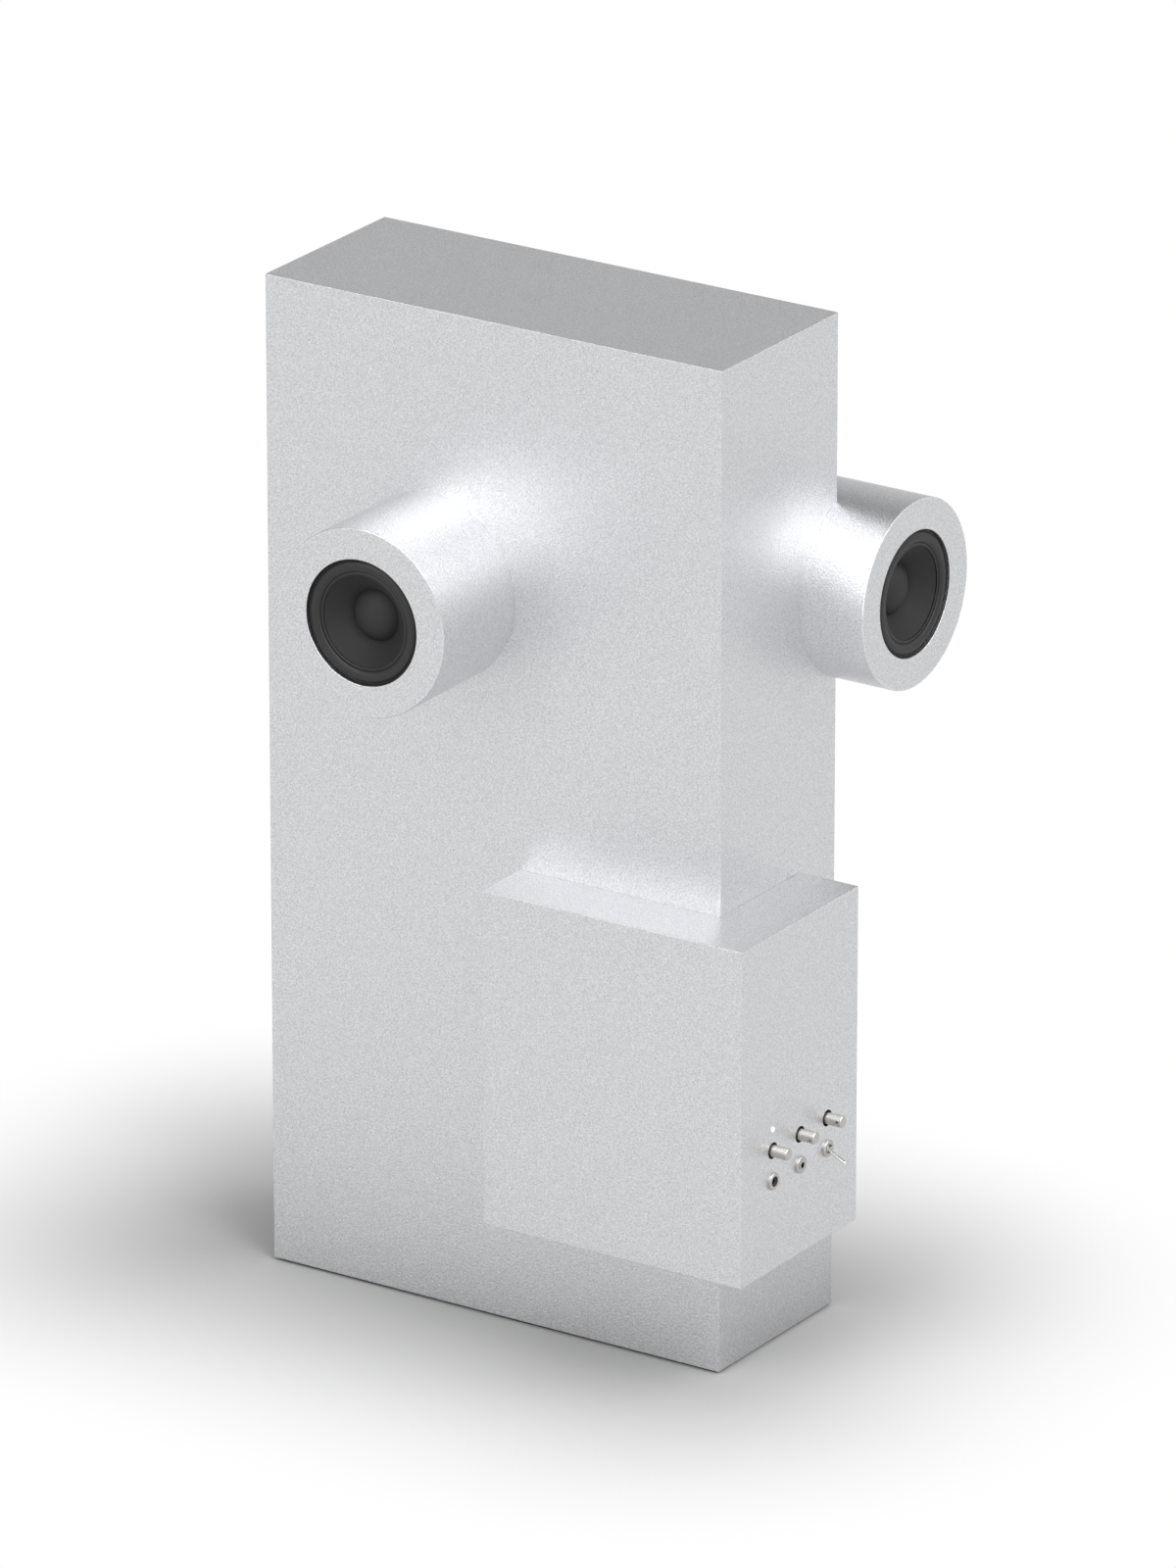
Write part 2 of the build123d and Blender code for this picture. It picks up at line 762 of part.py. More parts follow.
with BuildPart() as driver_screws:
    for seat in seats.values():
        with BuildSketch(seat.offset(flange_back - flat_head_height)):
            with PolarLocations(driver_screw_radius, 4, start_angle=45):
                Circle(flat_head_radius)
        extrude(amount=flat_head_height)
        with BuildSketch(seat.offset(flange_back)):
            with PolarLocations(driver_screw_radius, 4, start_angle=45):
                Circle(screw_radius)
        extrude(amount=flange_thickness + gasket_thickness + thread_length - thread_gap)
driver_screws.part.label = "driver_screws"
export_step(driver_screws.part, "parts/driver_screws.step")

# Knobs: each a plain turned rod on the shaft of a small potentiometer

knob_back = -housing_wall - knob_inside
shaft_back = -housing_wall - board_gap + pot_floor
shaft_front = knob_reach - knob_wall_at_tip
pot_front = -housing_wall - board_gap + pot_depth

for number, (control, pointer) in enumerate(knob_pointers.items()):
    seat = seat_on(panel, column(number), knob_row)

    with BuildPart() as pot:
        with BuildSketch(seat.offset(-housing_wall - board_gap)):
            Rectangle(pot_width, pot_height)
        extrude(amount=pot_depth)
        with BuildSketch(seat.offset(pot_front)):
            Circle(pot_bushing_radius)
        extrude(amount=knob_back - pot_bushing_gap - pot_front)
        with BuildSketch(seat.offset(shaft_back - shaft_gap)):
            Circle(shaft_radius + shaft_gap)
        extrude(amount=knob_back - shaft_back, mode=Mode.SUBTRACT)
    pot.part.label = f"{control}_pot"
    export_step(pot.part, f"parts/{control}_pot.step")

    with BuildPart() as shaft:
        with BuildSketch(seat.offset(shaft_back)):
            Circle(shaft_radius)
        extrude(amount=shaft_front - shaft_gap - shaft_back)
    shaft.part.label = f"{control}_shaft"
    export_step(shaft.part, f"parts/{control}_shaft.step")

    # Grub screw seat: a plane on the knob's axis that faces the way the pointer points
    turn = radians(pointer)
    pointing = seat.from_local_coords((-sin(turn), -cos(turn), 0)) - seat.origin
    grub_seat = Plane(
        origin=seat.from_local_coords((0, 0, knob_reach - grub_from_tip)),
        x_dir=seat.z_dir,
        z_dir=pointing,
    )

    with BuildPart() as knob:
        with BuildSketch(seat.offset(knob_back)):
            Circle(knob_radius)
        extrude(amount=knob_reach - knob_back)
        tip = knob.faces().sort_by(axis_of(seat))[-1]
        chamfer(tip.edges(), length=knob_tip_chamfer)
        with BuildSketch(seat.offset(knob_back)):
            Circle(shaft_radius + shaft_gap)
        extrude(amount=shaft_front - knob_back, mode=Mode.SUBTRACT)
        with BuildSketch(grub_seat):
            Circle(grub_radius + thread_gap)
        extrude(amount=knob_radius, mode=Mode.SUBTRACT)
    knob.part.label = f"{control}_knob"
    export_step(knob.part, f"parts/{control}_knob.step")

    with BuildPart() as knob_screw:
        with BuildSketch(grub_seat.offset(shaft_radius + shaft_gap)):
            Circle(grub_radius)
        extrude(amount=knob_radius - grub_sink - shaft_radius - shaft_gap)
        with BuildSketch(grub_seat.offset(knob_radius - grub_sink)):
            RegularPolygon(grub_radius / 2, 6)
        extrude(amount=-grub_radius, mode=Mode.SUBTRACT)
    knob_screw.part.label = f"{control}_knob_screw"
    export_step(knob_screw.part, f"parts/{control}_knob_screw.step")

# Sockets: power in the first column, audio in the second

power_seat = seat_on(panel, column(0), socket_row)
audio_seat = seat_on(panel, column(1), socket_row)
toggle_seat = seat_on(panel, column(2), socket_row)

with BuildPart() as power_jack:
    with BuildSketch(power_seat.offset(-housing_wall)):
        Rectangle(body_width, body_height)
    extrude(amount=-body_depth)
    with BuildSketch(power_seat.offset(-housing_wall)):
        Circle(barrel_radius)
    extrude(amount=housing_wall + power_proud)
    with BuildSketch(power_seat.offset(power_proud)):
        Circle(power_hole_radius)
    extrude(amount=-power_hole_depth, mode=Mode.SUBTRACT)
    with BuildSketch(power_seat.offset(power_proud - power_hole_depth)):
        Circle(power_pin_radius)
    extrude(amount=power_pin_length)
power_jack.part.label = "power_jack"
export_step(power_jack.part, "parts/power_jack.step")

with BuildPart() as audio_jack:
    with BuildSketch(audio_seat.offset(-housing_wall)):
        Rectangle(body_width, body_height)
    extrude(amount=-body_depth - audio_proud)
    with BuildSketch(audio_seat.offset(-housing_wall)):
        Circle(barrel_radius)
    extrude(amount=housing_wall + audio_proud)
    with BuildSketch(audio_seat.offset(audio_proud)):
        Circle(audio_hole_radius)
    extrude(amount=-audio_hole_depth, mode=Mode.SUBTRACT)
audio_jack.part.label = "audio_jack"
export_step(audio_jack.part, "parts/audio_jack.step")

# Toggle: the lever's ball sits in the bushing and its tail in the body

pivot_seat = toggle_seat.offset(toggle_proud - toggle_pivot_depth)
tilt = radians(lever_tilt)
lever_axis = seat_on(pivot_seat, 0, 0).from_local_coords((0, -sin(tilt), cos(tilt))) - pivot_seat.origin
lever_seat = Plane(origin=pivot_seat.origin, x_dir=pivot_seat.x_dir, z_dir=lever_axis)
tail_room = lever_tail_length * sin(tilt) + lever_tail_radius + lever_room
socket_radius = lever_ball_radius + lever_room

with BuildPart() as toggle_body:
    with BuildSketch(toggle_seat.offset(-housing_wall)):
        Rectangle(body_width, body_height)
    extrude(amount=-body_depth)
    with BuildSketch(toggle_seat.offset(-housing_wall)):
        Circle(barrel_radius)
    extrude(amount=housing_wall + toggle_proud)
    # Flared mouth, ball socket and the tail's slot
    with BuildSketch(section_of(pivot_seat)):
        with BuildLine():
            Polyline(
                (socket_radius, 0),
                (toggle_mouth_radius, toggle_pivot_depth),
                (0, toggle_pivot_depth),
                (0, -socket_radius),
            )
            ThreePointArc(
                (0, -socket_radius),
                (socket_radius * sin(radians(45)), -socket_radius * cos(radians(45))),
                (socket_radius, 0),
            )
        make_face()
    revolve(axis=axis_of(pivot_seat), mode=Mode.SUBTRACT)
    with BuildSketch(pivot_seat):
        Rectangle(2 * (lever_tail_radius + lever_room), 2 * tail_room)
    extrude(amount=-(lever_tail_length + 2 * lever_room), mode=Mode.SUBTRACT)
toggle_body.part.label = "toggle_body"
export_step(toggle_body.part, "parts/toggle_body.step")

with BuildPart() as toggle_lever:
    with BuildSketch(section_of(lever_seat)):
        with BuildLine():
            Polyline(
                (0, -lever_tail_length),
                (lever_tail_radius, -lever_tail_length),
                (lever_tail_radius, 0),
                (lever_neck_radius, 0),
                (lever_tip_radius, lever_length - lever_tip_radius),
            )
            ThreePointArc(
                (lever_tip_radius, lever_length - lever_tip_radius),
                (
                    lever_tip_radius * cos(radians(45)),
                    lever_length - lever_tip_radius * (1 - sin(radians(45))),
                ),
                (0, lever_length),
            )
            Line((0, lever_length), (0, -lever_tail_length))
        make_face()
    revolve(axis=axis_of(lever_seat))
    with Locations(lever_seat):
        Sphere(lever_ball_radius)
toggle_lever.part.label = "toggle_lever"
export_step(toggle_lever.part, "parts/toggle_lever.step")

with BuildPart() as panel_nuts:
    for seat in (power_seat, audio_seat, toggle_seat):
        with BuildSketch(seat):
            Circle(nut_radius)
            Circle(barrel_radius + thread_gap, mode=Mode.SUBTRACT)
        extrude(amount=nut_thickness)
    nut_faces = panel_nuts.faces().filter_by(Plane.YZ).group_by(Axis.X)[-1]
    nut_rims = nut_faces.edges().filter_by(lambda rim: rim.radius > nut_radius - weld_gap)
    chamfer(nut_rims, length=nut_chamfer)
panel_nuts.part.label = "panel_nuts"
export_step(panel_nuts.part, "parts/panel_nuts.step")

# Lamp: a clear light pipe from the board through the panel, with a domed end

lamp_seat = seat_on(panel, column(0), lamp_row)

with BuildPart() as status_lamp:
    with BuildSketch(lamp_seat.offset(-housing_wall - board_gap)):
        Circle(lamp_radius)
    extrude(amount=housing_wall + board_gap + lamp_proud)
    lamp_end = status_lamp.faces().sort_by(Axis.X)[-1]
    fillet(lamp_end.edges(), radius=lamp_proud)
status_lamp.part.label = "status_lamp"
export_step(status_lamp.part, "parts/status_lamp.step")

# Control board and its screws

with BuildPart() as control_board:
    with BuildSketch(board_middle):
        Rectangle(board_width, board_height)
        with GridLocations(post_pitch_x, post_pitch_y, 2, 2):
            Circle(screw_radius + screw_clearance, mode=Mode.SUBTRACT)
    extrude(amount=-board_thickness)
control_board.part.label = "control_board"
export_step(control_board.part, "parts/control_board.step")

with BuildPart() as control_board_screws:
    with BuildSketch(board_middle.offset(-board_thickness)):
        with GridLocations(post_pitch_x, post_pitch_y, 2, 2):
            Circle(flat_head_radius)
    extrude(amount=-flat_head_height)
    with BuildSketch(board_middle.offset(-board_thickness)):
        with GridLocations(post_pitch_x, post_pitch_y, 2, 2):
            Circle(screw_radius)
    extrude(amount=board_thickness + thread_length)
control_board_screws.part.label = "control_board_screws"
export_step(control_board_screws.part, "parts/control_board_screws.step")

# Amplifier board with its finned heat sink and two capacitors

amplifier_face = amplifier_middle.offset(amplifier_post_length)
component_face = amplifier_face.offset(board_thickness)

with BuildPart() as amplifier_board:
    with BuildSketch(amplifier_face):
        Rectangle(amplifier_width, amplifier_height)
        with GridLocations(amplifier_pitch_x, amplifier_pitch_y, 2, 2):
            Circle(screw_radius + screw_clearance, mode=Mode.SUBTRACT)
    extrude(amount=board_thickness)
amplifier_board.part.label = "amplifier_board"
export_step(amplifier_board.part, "parts/amplifier_board.step")

with BuildPart() as amplifier_board_screws:
    with BuildSketch(component_face):
        with GridLocations(amplifier_pitch_x, amplifier_pitch_y, 2, 2):
            Circle(flat_head_radius)
    extrude(amount=flat_head_height)
    with BuildSketch(component_face):
        with GridLocations(amplifier_pitch_x, amplifier_pitch_y, 2, 2):
            Circle(screw_radius)
    extrude(amount=-(board_thickness + thread_length))
amplifier_board_screws.part.label = "amplifier_board_screws"
export_step(amplifier_board_screws.part, "parts/amplifier_board_screws.step")

with BuildPart() as heat_sink:
    with BuildSketch(component_face):
        Rectangle(sink_width, sink_height)
    extrude(amount=sink_base)
    with BuildSketch(component_face.offset(sink_base)):
        with GridLocations((sink_width - fin_thickness) / (fin_count - 1), 0, fin_count, 1):
            Rectangle(fin_thickness, sink_height)
    extrude(amount=fin_length)
heat_sink.part.label = "heat_sink"
export_step(heat_sink.part, "parts/heat_sink.step")

with BuildPart() as capacitors:
    with BuildSketch(seat_on(component_face, 0, -capacitor_drop)):
        with GridLocations(capacitor_pitch, 0, 2, 1):
            Circle(capacitor_radius)
    extrude(amount=capacitor_height)
    fillet(capacitors.faces().group_by(Axis.Y)[-1].edges(), radius=1)
capacitors.part.label = "capacitors"
export_step(capacitors.part, "parts/capacitors.step")

# Terminal blocks of the leads: on the back of each basket's flange, and on the amplifier board

board_terminals = seat_on(component_face, board_terminal_shift, board_terminal_rise)

with BuildPart() as lead_terminals:
    for seat in seats.values():
        with BuildSketch(seat.offset(flange_back)):
            with Locations((terminal_circle, 0)):
                Rectangle(terminal_span, terminal_width)
        extrude(amount=-terminal_depth)
    with BuildSketch(board_terminals):
        with GridLocations(board_terminal_pitch, 0, 2, 1):
            Rectangle(terminal_width, terminal_width)
    extrude(amount=board_terminal_depth)
lead_terminals.part.label = "lead_terminals"
export_step(lead_terminals.part, "parts/lead_terminals.step")

# Grommets in the pods' back discs and in the hatch

grommet_seats = [
    (seat_on(seat.offset(-pod_length), terminal_circle, 0), pod_back_thickness)
    for seat in seats.values()
] + [
    (seat_on(hatch_lead_middle, side * hatch_lead_pitch / 2, 0), hatch_thickness)
    for side in (-1, 1)
]

with BuildPart() as lead_grommets:
    for seat, plate in grommet_seats:
        for level, radius, length in (
            (-grommet_lip, lead_hole_radius + grommet_flange, grommet_lip),
            (0, lead_hole_radius - thread_gap, plate),
            (plate, lead_hole_radius + grommet_flange, grommet_lip),
        ):
            with BuildSketch(seat.offset(level)):
                Circle(radius)
                Circle(lead_radius + grommet_gap, mode=Mode.SUBTRACT)
            extrude(amount=length)
lead_grommets.part.label = "lead_grommets"
export_step(lead_grommets.part, "parts/lead_grommets.step")

# Leads: straight out of each basket's terminal, sagging to the grommet, down inside the slab,
# forward through the hatch and up to the amplifier board

board_terminal_face = board_terminals.offset(board_terminal_depth)
room_behind_hatch = slab_depth / 2 - slab_wall - housing_front - housing_depth
lead_behind_hatch = room_behind_hatch - lead_wall_gap - lead_radius
lead_turn = lead_turn_share * lead_behind_hatch


def lead_bends(points):
    """Radius of each bend: a share of its shorter run over the tangent of half the turn."""
    bends = []
    for before, point, after in zip(points, points[1:], points[2:]):
        shorter = min((point - before).length, (after - point).length)
        half_turn = radians((point - before).get_angle(after - point)) / 2
        bends.append(lead_bend_share * shorter / tan(half_turn))
    return bends


def lead_start(seat):
    """Points from a unit's terminal to just past the grommet in its back disc."""
    depths = [
        flange_back - terminal_depth,
        -35.0,
        -69.0,
        -pod_length + lead_straight_inside,
        -pod_length - lead_straight_outside,
    ]
    sags = [0.0, 0.0, 5.8, 0.0, 0.0]
    return [
        seat.from_local_coords((terminal_circle, 0, depth)) - Vector(0, 0, sag)
        for depth, sag in zip(depths, sags)
    ]


def lead_end(side):
    """Points from above the hatch's grommet to a terminal of the amplifier board."""
    hatch_seat = seat_on(hatch_lead_middle, side * hatch_lead_pitch / 2, 0)
    terminal = seat_on(board_terminal_face, side * board_terminal_pitch / 2, 0)
    return [
        hatch_seat.from_local_coords((0, lead_drop + lead_turn, lead_behind_hatch)),
        hatch_seat.from_local_coords((0, lead_turn, lead_behind_hatch)),
        hatch_seat.from_local_coords((0, 0, lead_behind_hatch - lead_turn)),
        hatch_seat.from_local_coords((0, 0, -27.0)),
        terminal.from_local_coords((-9.0, -8.0, 40.0)),
        terminal.from_local_coords((0, 0, 16.0)),
        terminal.origin,
    ]


lead_routes = [
    [
        *lead_start(front_seat),
        Vector(6, 24, 418),
        Vector(12, 34, 380),
        Vector(20, 38, 330),
        Vector(36, 41, 290),
        *lead_end(1),
    ],
    [
        *lead_start(side_seat),
        Vector(46, 37, 414),
        Vector(49, 39, 370),
        Vector(58, 40, 326),
        Vector(73, 42, 288),
        *lead_end(-1),
    ],
]

with BuildPart() as driver_leads:
    for route in lead_routes:
        with BuildLine() as line:
            FilletPolyline(*route, radius=lead_bends(route))
        with BuildSketch(Plane(origin=route[0], z_dir=route[1] - route[0])):
            Circle(lead_radius)
        sweep(path=line.line)
driver_leads.part.label = "driver_leads"
export_step(driver_leads.part, "parts/driver_leads.step")
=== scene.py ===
"""Dresses the loudspeaker: blasted aluminium, rubber, paper, turned metal, and a white studio."""

import math

import bmesh
import bpy
from bpy.props import FloatProperty, FloatVectorProperty, IntProperty, PointerProperty
from bpy.types import Operator, Panel, PropertyGroup
from mathutils import Matrix, Vector
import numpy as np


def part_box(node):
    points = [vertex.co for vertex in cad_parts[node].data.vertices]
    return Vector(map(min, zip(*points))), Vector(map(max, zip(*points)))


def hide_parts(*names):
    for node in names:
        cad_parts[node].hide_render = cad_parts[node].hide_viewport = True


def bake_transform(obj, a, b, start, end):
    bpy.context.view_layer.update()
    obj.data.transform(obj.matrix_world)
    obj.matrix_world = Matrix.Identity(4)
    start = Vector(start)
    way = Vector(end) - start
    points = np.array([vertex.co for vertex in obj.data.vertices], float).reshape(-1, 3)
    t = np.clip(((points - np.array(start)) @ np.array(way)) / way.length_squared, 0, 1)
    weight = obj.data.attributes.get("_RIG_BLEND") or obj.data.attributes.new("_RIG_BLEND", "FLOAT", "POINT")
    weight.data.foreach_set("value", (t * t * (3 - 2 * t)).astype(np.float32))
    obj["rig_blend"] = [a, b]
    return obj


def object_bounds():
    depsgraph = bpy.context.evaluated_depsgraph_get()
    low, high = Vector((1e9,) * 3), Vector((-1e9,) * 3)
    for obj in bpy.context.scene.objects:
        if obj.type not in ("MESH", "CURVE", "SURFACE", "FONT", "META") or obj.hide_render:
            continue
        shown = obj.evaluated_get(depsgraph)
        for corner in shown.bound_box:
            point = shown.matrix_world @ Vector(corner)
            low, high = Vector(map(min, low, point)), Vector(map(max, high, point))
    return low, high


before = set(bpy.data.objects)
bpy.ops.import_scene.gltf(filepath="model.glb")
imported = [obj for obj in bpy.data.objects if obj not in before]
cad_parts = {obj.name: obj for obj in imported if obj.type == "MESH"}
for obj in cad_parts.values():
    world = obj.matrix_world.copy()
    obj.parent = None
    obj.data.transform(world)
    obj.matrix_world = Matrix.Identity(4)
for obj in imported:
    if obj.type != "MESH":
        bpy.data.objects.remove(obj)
cad_low, cad_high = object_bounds()

bl_info = {
    "name": "Slab loudspeaker",
    "version": (1, 0, 0),
    "blender": (4, 5, 0),
    "location": "3D View > Sidebar > Loudspeaker",
    "description": "Finishes and soft parts of an active loudspeaker with two round pods",
    "category": "Object",
}

MILLIMETRE = 0.001

# Outward direction of each unit's axis
UNITS = {"front": Vector((0, -1, 0)), "side": Vector((1, 0, 0))}

KNOBS = ("volume", "bass", "treble")

# Swing of the blasted metal's colour from the brightest to the darkest dimple
BLAST_CONTRAST = 0.9
# Radians about X, Y and Z by which the grain is tilted. A noise is weak in its own grid's planes
GRAIN_TILT = (0.6, 0.45, 0.8)
# Painted light: the barrels of the pods are coloured this much brighter than the flat sheet and the ring
# faces, though all are the same blasted metal
BARREL_PAINTED_LIGHT_GAIN = 1.07
# The change lies in the rounded edge, between these distances inside the barrel's radius
BARREL_EDGE = (1.5 * MILLIMETRE, 0.3 * MILLIMETRE)
# The dust caps are this much brighter than the cones
CAP_GAIN = 1.2
# Width of the painted shade on both sides of the dust cap's edge, and inside the mouth
CAP_SHADE_WIDTH = 4 * MILLIMETRE
MOUTH_SHADE_WIDTH = 1.4 * MILLIMETRE
# Shares of their colour that the cone, the cap and the surround keep in that painted shade
CONE_SHADE = 0.45
CAP_SHADE = 0.5
MOUTH_SHADE = 0.25

# Front of the surround's lands over the back of its CAD solid
LAND_HEIGHT = 0.6 * MILLIMETRE
# Room between the surround and both rims of its CAD solid
RIM_ROOM = 0.02 * MILLIMETRE
SPIDER_THICKNESS = 0.5 * MILLIMETRE
# Widths of the spider's flat rings, outside on the basket and inside on the coil's former
SPIDER_LAND = 3.3 * MILLIMETRE
SPIDER_HUB = 2.3 * MILLIMETRE
# Straight edges that stand for the half circle of the roll, and of each pleat
ROLL_STEPS = 16
PLEAT_STEPS = 8

# Each lamp's azimuth from the wide face and its elevation, in degrees
LAMPS = {
    "high_front": (-10, 42),
    "low_front": (-25, 18),
    "high_side": (70, 42),
    "low_side": (45, 18),
    "high_rear": (115, 42),
    "rear": (-147, 18),
    "rear_side": (147, 18),
}
# Angle in degrees over which each lamp is spread
LAMP_WIDTH = 34
# Metres from the middle of the loudspeaker. A sun lamp is as bright from anywhere
LAMP_DISTANCE = 5.0
FLOOR_RADIUS = 30.0
FLOOR_SEGMENTS = 96
# The darker floor lies a little to the left of the foot
SHADOW_SHIFT = (-0.035, 0, 0)
# Share of its colour that the floor keeps, as painted shade, in a corner that no light reaches
CORNER_SHADE = 0.45
# Share of the white background in what the metal mirrors. The rest is the lit floor
MIRRORED_SHARE = 0.6
# Height of the picture in the camera, in millimetres
SENSOR_SIZE = 36.0
# Metres beyond which the camera sees nothing
CLIP_DISTANCE = 100.0


# Places, taken from the frame


def centre_of(node):
    low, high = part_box(node)
    return (low + high) / 2


def seat_of(unit):
    """Matrix with its origin in the middle of a unit's ring face and Z out along its axis."""
    outward = UNITS[unit]
    low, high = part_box(f"{unit}_pod")
    face = low if sum(outward) < 0 else high
    origin = centre_of(f"{unit}_pod")
    along = max(range(3), key=lambda axis: abs(outward[axis]))
    origin[along] = face[along]
    up = Vector((0, 0, 1))
    across = up.cross(outward)
    return Matrix.Translation(origin) @ Matrix((across, up, outward)).transposed().to_4x4()


def reach_of(node, unit):
    """Smallest and largest radius and depth of a node in its unit's seat."""
    to_seat = seat_of(unit).inverted()
    points = [to_seat @ vertex.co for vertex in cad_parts[node].data.vertices]
    radii = [math.hypot(point.x, point.y) for point in points]
    depths = [point.z for point in points]
    return min(radii), max(radii), min(depths), max(depths)


# Sizes and colours a user would change


class FinishColours(PropertyGroup):
    aluminium: FloatVectorProperty(
        name="Blasted aluminium",
        description="Colour of the bead-blasted cabinet",
        subtype="COLOR",
        min=0,
        max=1,
        default=(0.722, 0.73, 0.746),
    )
    plate: FloatVectorProperty(
        name="Sheet aluminium",
        description="Colour of the plates that close the cabinet",
        subtype="COLOR",
        min=0,
        max=1,
        default=(0.62, 0.625, 0.635),
    )
    turned: FloatVectorProperty(
        name="Turned metal",
        description="Colour of the knobs",
        subtype="COLOR",
        min=0,
        max=1,
        default=(0.56, 0.545, 0.515),
    )
    plated: FloatVectorProperty(
        name="Plated metal",
        description="Colour of the sockets, the toggle's body and their nuts",
        subtype="COLOR",
        min=0,
        max=1,
        default=(0.52, 0.51, 0.49),
    )
    cone: FloatVectorProperty(
        name="Cone paper",
        description="Colour of the cones and dust caps",
        subtype="COLOR",
        min=0,
        max=1,
        default=(0.0135, 0.0135, 0.014),
    )
    rubber: FloatVectorProperty(
        name="Rubber",
        description="Colour of the surrounds",
        subtype="COLOR",
        min=0,
        max=1,
        default=(0.015, 0.015, 0.0155),
    )


class GrainSizes(PropertyGroup):
    blast: FloatProperty(
        name="Blasted grain",
        description="Size of the dimples left by the blasting",
        unit="LENGTH",
        default=0.001,
        precision=5,
    )
    blast_depth: FloatProperty(
        name="Blasted depth",
        description="Depth of the dimples",
        unit="LENGTH",
        default=0.0003,
        precision=6,
    )
    turning: FloatProperty(
        name="Turning mark",
        description="Distance between the marks of the lathe",
        unit="LENGTH",
        default=0.00016,
        precision=6,
    )


class SurroundSizes(PropertyGroup):
    roll_width: FloatProperty(
        name="Roll width",
        description="Distance between the feet of the half roll",
        unit="LENGTH",
        default=5.6 * MILLIMETRE,
        precision=5,
    )
    outer_land: FloatProperty(
        name="Outer land",
        description="Width of the flat rubber glued to the basket",
        unit="LENGTH",
        default=1.65 * MILLIMETRE,
        precision=5,
    )
    thickness: FloatProperty(
        name="Rubber thickness",
        description="Thickness of the surround",
        unit="LENGTH",
        default=0.5 * MILLIMETRE,
        precision=5,
    )
    pleats: IntProperty(
        name="Pleats",
        description="Number of waves in each spider",
        default=3,
        min=1,
    )
    turns: IntProperty(
        name="Steps round the axis",
        description="Number of steps that each spun piece is made of",
        default=144,
        min=12,
    )


class StageSettings(PropertyGroup):
    azimuth: FloatProperty(
        name="Azimuth",
        description="Camera's angle round the loudspeaker, from its wide face",
        subtype="ANGLE",
        default=math.radians(33.172),
    )
    elevation: FloatProperty(
        name="Elevation",
        description="Camera's angle above the horizon",
        subtype="ANGLE",
        default=math.radians(21.005),
    )
    aim: FloatVectorProperty(
        name="Aim",
        description="Point in the middle of the picture",
        subtype="XYZ",
        unit="LENGTH",
        default=(0.00642, 0.02844, 0.29928),
    )
    distance: FloatProperty(
        name="Distance",
        description="Distance from the camera to its aim",
        unit="LENGTH",
        default=7.6,
    )
    lens: FloatProperty(
        name="Lens",
        description="Focal length in millimetres for a picture 36 mm high",
        default=306.67,
    )
    high_front: FloatProperty(
        name="High front lamp",
        description="Strength of the soft lamp above the wide face",
        default=1.15,
    )
    low_front: FloatProperty(
        name="Low front lamp",
        description="Strength of the soft lamp level with the wide face",
        default=0.5,
    )
    high_side: FloatProperty(
        name="High side lamp",
        description="Strength of the soft lamp above the narrow face",
        default=1.3,
    )
    low_side: FloatProperty(
        name="Low side lamp",
        description="Strength of the soft lamp between the wide and the narrow face",
        default=0.55,
    )
    high_rear: FloatProperty(
        name="High rear lamp",
        description="Strength of the soft lamp above and behind the narrow face",
        default=0.8,
    )
    rear: FloatProperty(
        name="Rear lamp",
        description="Strength of the weak lamp that the top mirrors",
        default=0.1,
    )
    rear_side: FloatProperty(
        name="Rear side lamp",
        description="Strength of the lamp behind the narrow face",
        default=0.3,
    )
    room: FloatProperty(
        name="Room",
        description="Brightness of the room above the floor",
        default=0.3,
    )
    floor: FloatVectorProperty(
        name="Floor",
        description="Colour of the floor under the loudspeaker",
        subtype="COLOR",
        min=0,
        max=1,
        default=(0.56, 0.56, 0.56),
    )
    floor_reach: FloatProperty(
        name="Floor reach",
        description="Distance from the foot at which the floor has turned into white background",
        unit="LENGTH",
        default=0.27,
    )
    # Painted shade: the floor's colour darkens within this distance of the loudspeaker, by ambient occlusion
    contact_reach: FloatProperty(
        name="Contact reach",
        description="Width of the darker floor along the foot",
        unit="LENGTH",
        default=0.16,
    )


# Shader groups: each gives a tone around 1 and a height, both changing over the surface


def new_group(name, inputs, outputs):
    """An empty shader group with these sockets, and its input and output nodes."""
    tree = bpy.data.node_groups.new(name, "ShaderNodeTree")
    for label, kind, value in inputs:
        socket = tree.interface.new_socket(label, in_out="INPUT", socket_type=kind)
        if value is not None:
            socket.default_value = value
    for label in outputs:
        tree.interface.new_socket(label, in_out="OUTPUT", socket_type="NodeSocketFloat")
    return tree, tree.nodes.new("NodeGroupInput"), tree.nodes.new("NodeGroupOutput")


def add_math(tree, operation, first, second):
    """A Math node whose two inputs are sockets or numbers."""
    node = tree.nodes.new("ShaderNodeMath")
    node.operation = operation
    for socket, value in zip(node.inputs, (first, second)):
        if isinstance(value, (int, float)):
            socket.default_value = value
        else:
            tree.links.new(value, socket)
    return node.outputs["Value"]


def vector_step(tree, operation, socket, value=None):
    """A Vector Math node that reads a socket, and a plain vector where it takes two."""
    node = tree.nodes.new("ShaderNodeVectorMath")
    node.operation = operation
    tree.links.new(socket, node.inputs[0])
    if value is not None:
        node.inputs[1].default_value = value
    return node


def add_noise(tree, vector, scale, detail, roughness=0.5):
    """A Noise texture that reads a vector socket, with a scale that is a socket or a number."""
    node = tree.nodes.new("ShaderNodeTexNoise")
    node.inputs["Detail"].default_value = detail
    node.inputs["Roughness"].default_value = roughness
    tree.links.new(vector, node.inputs["Vector"])
    if isinstance(scale, (int, float)):
        node.inputs["Scale"].default_value = scale
    else:
        tree.links.new(scale, node.inputs["Scale"])
    return node.outputs["Fac"]


def tone_around_one(tree, pattern, contrast):
    """1 + (pattern - 0.5) * contrast."""
    centred = add_math(tree, "SUBTRACT", pattern, 0.5)
    return add_math(tree, "ADD", add_math(tree, "MULTIPLY", centred, contrast), 1.0)


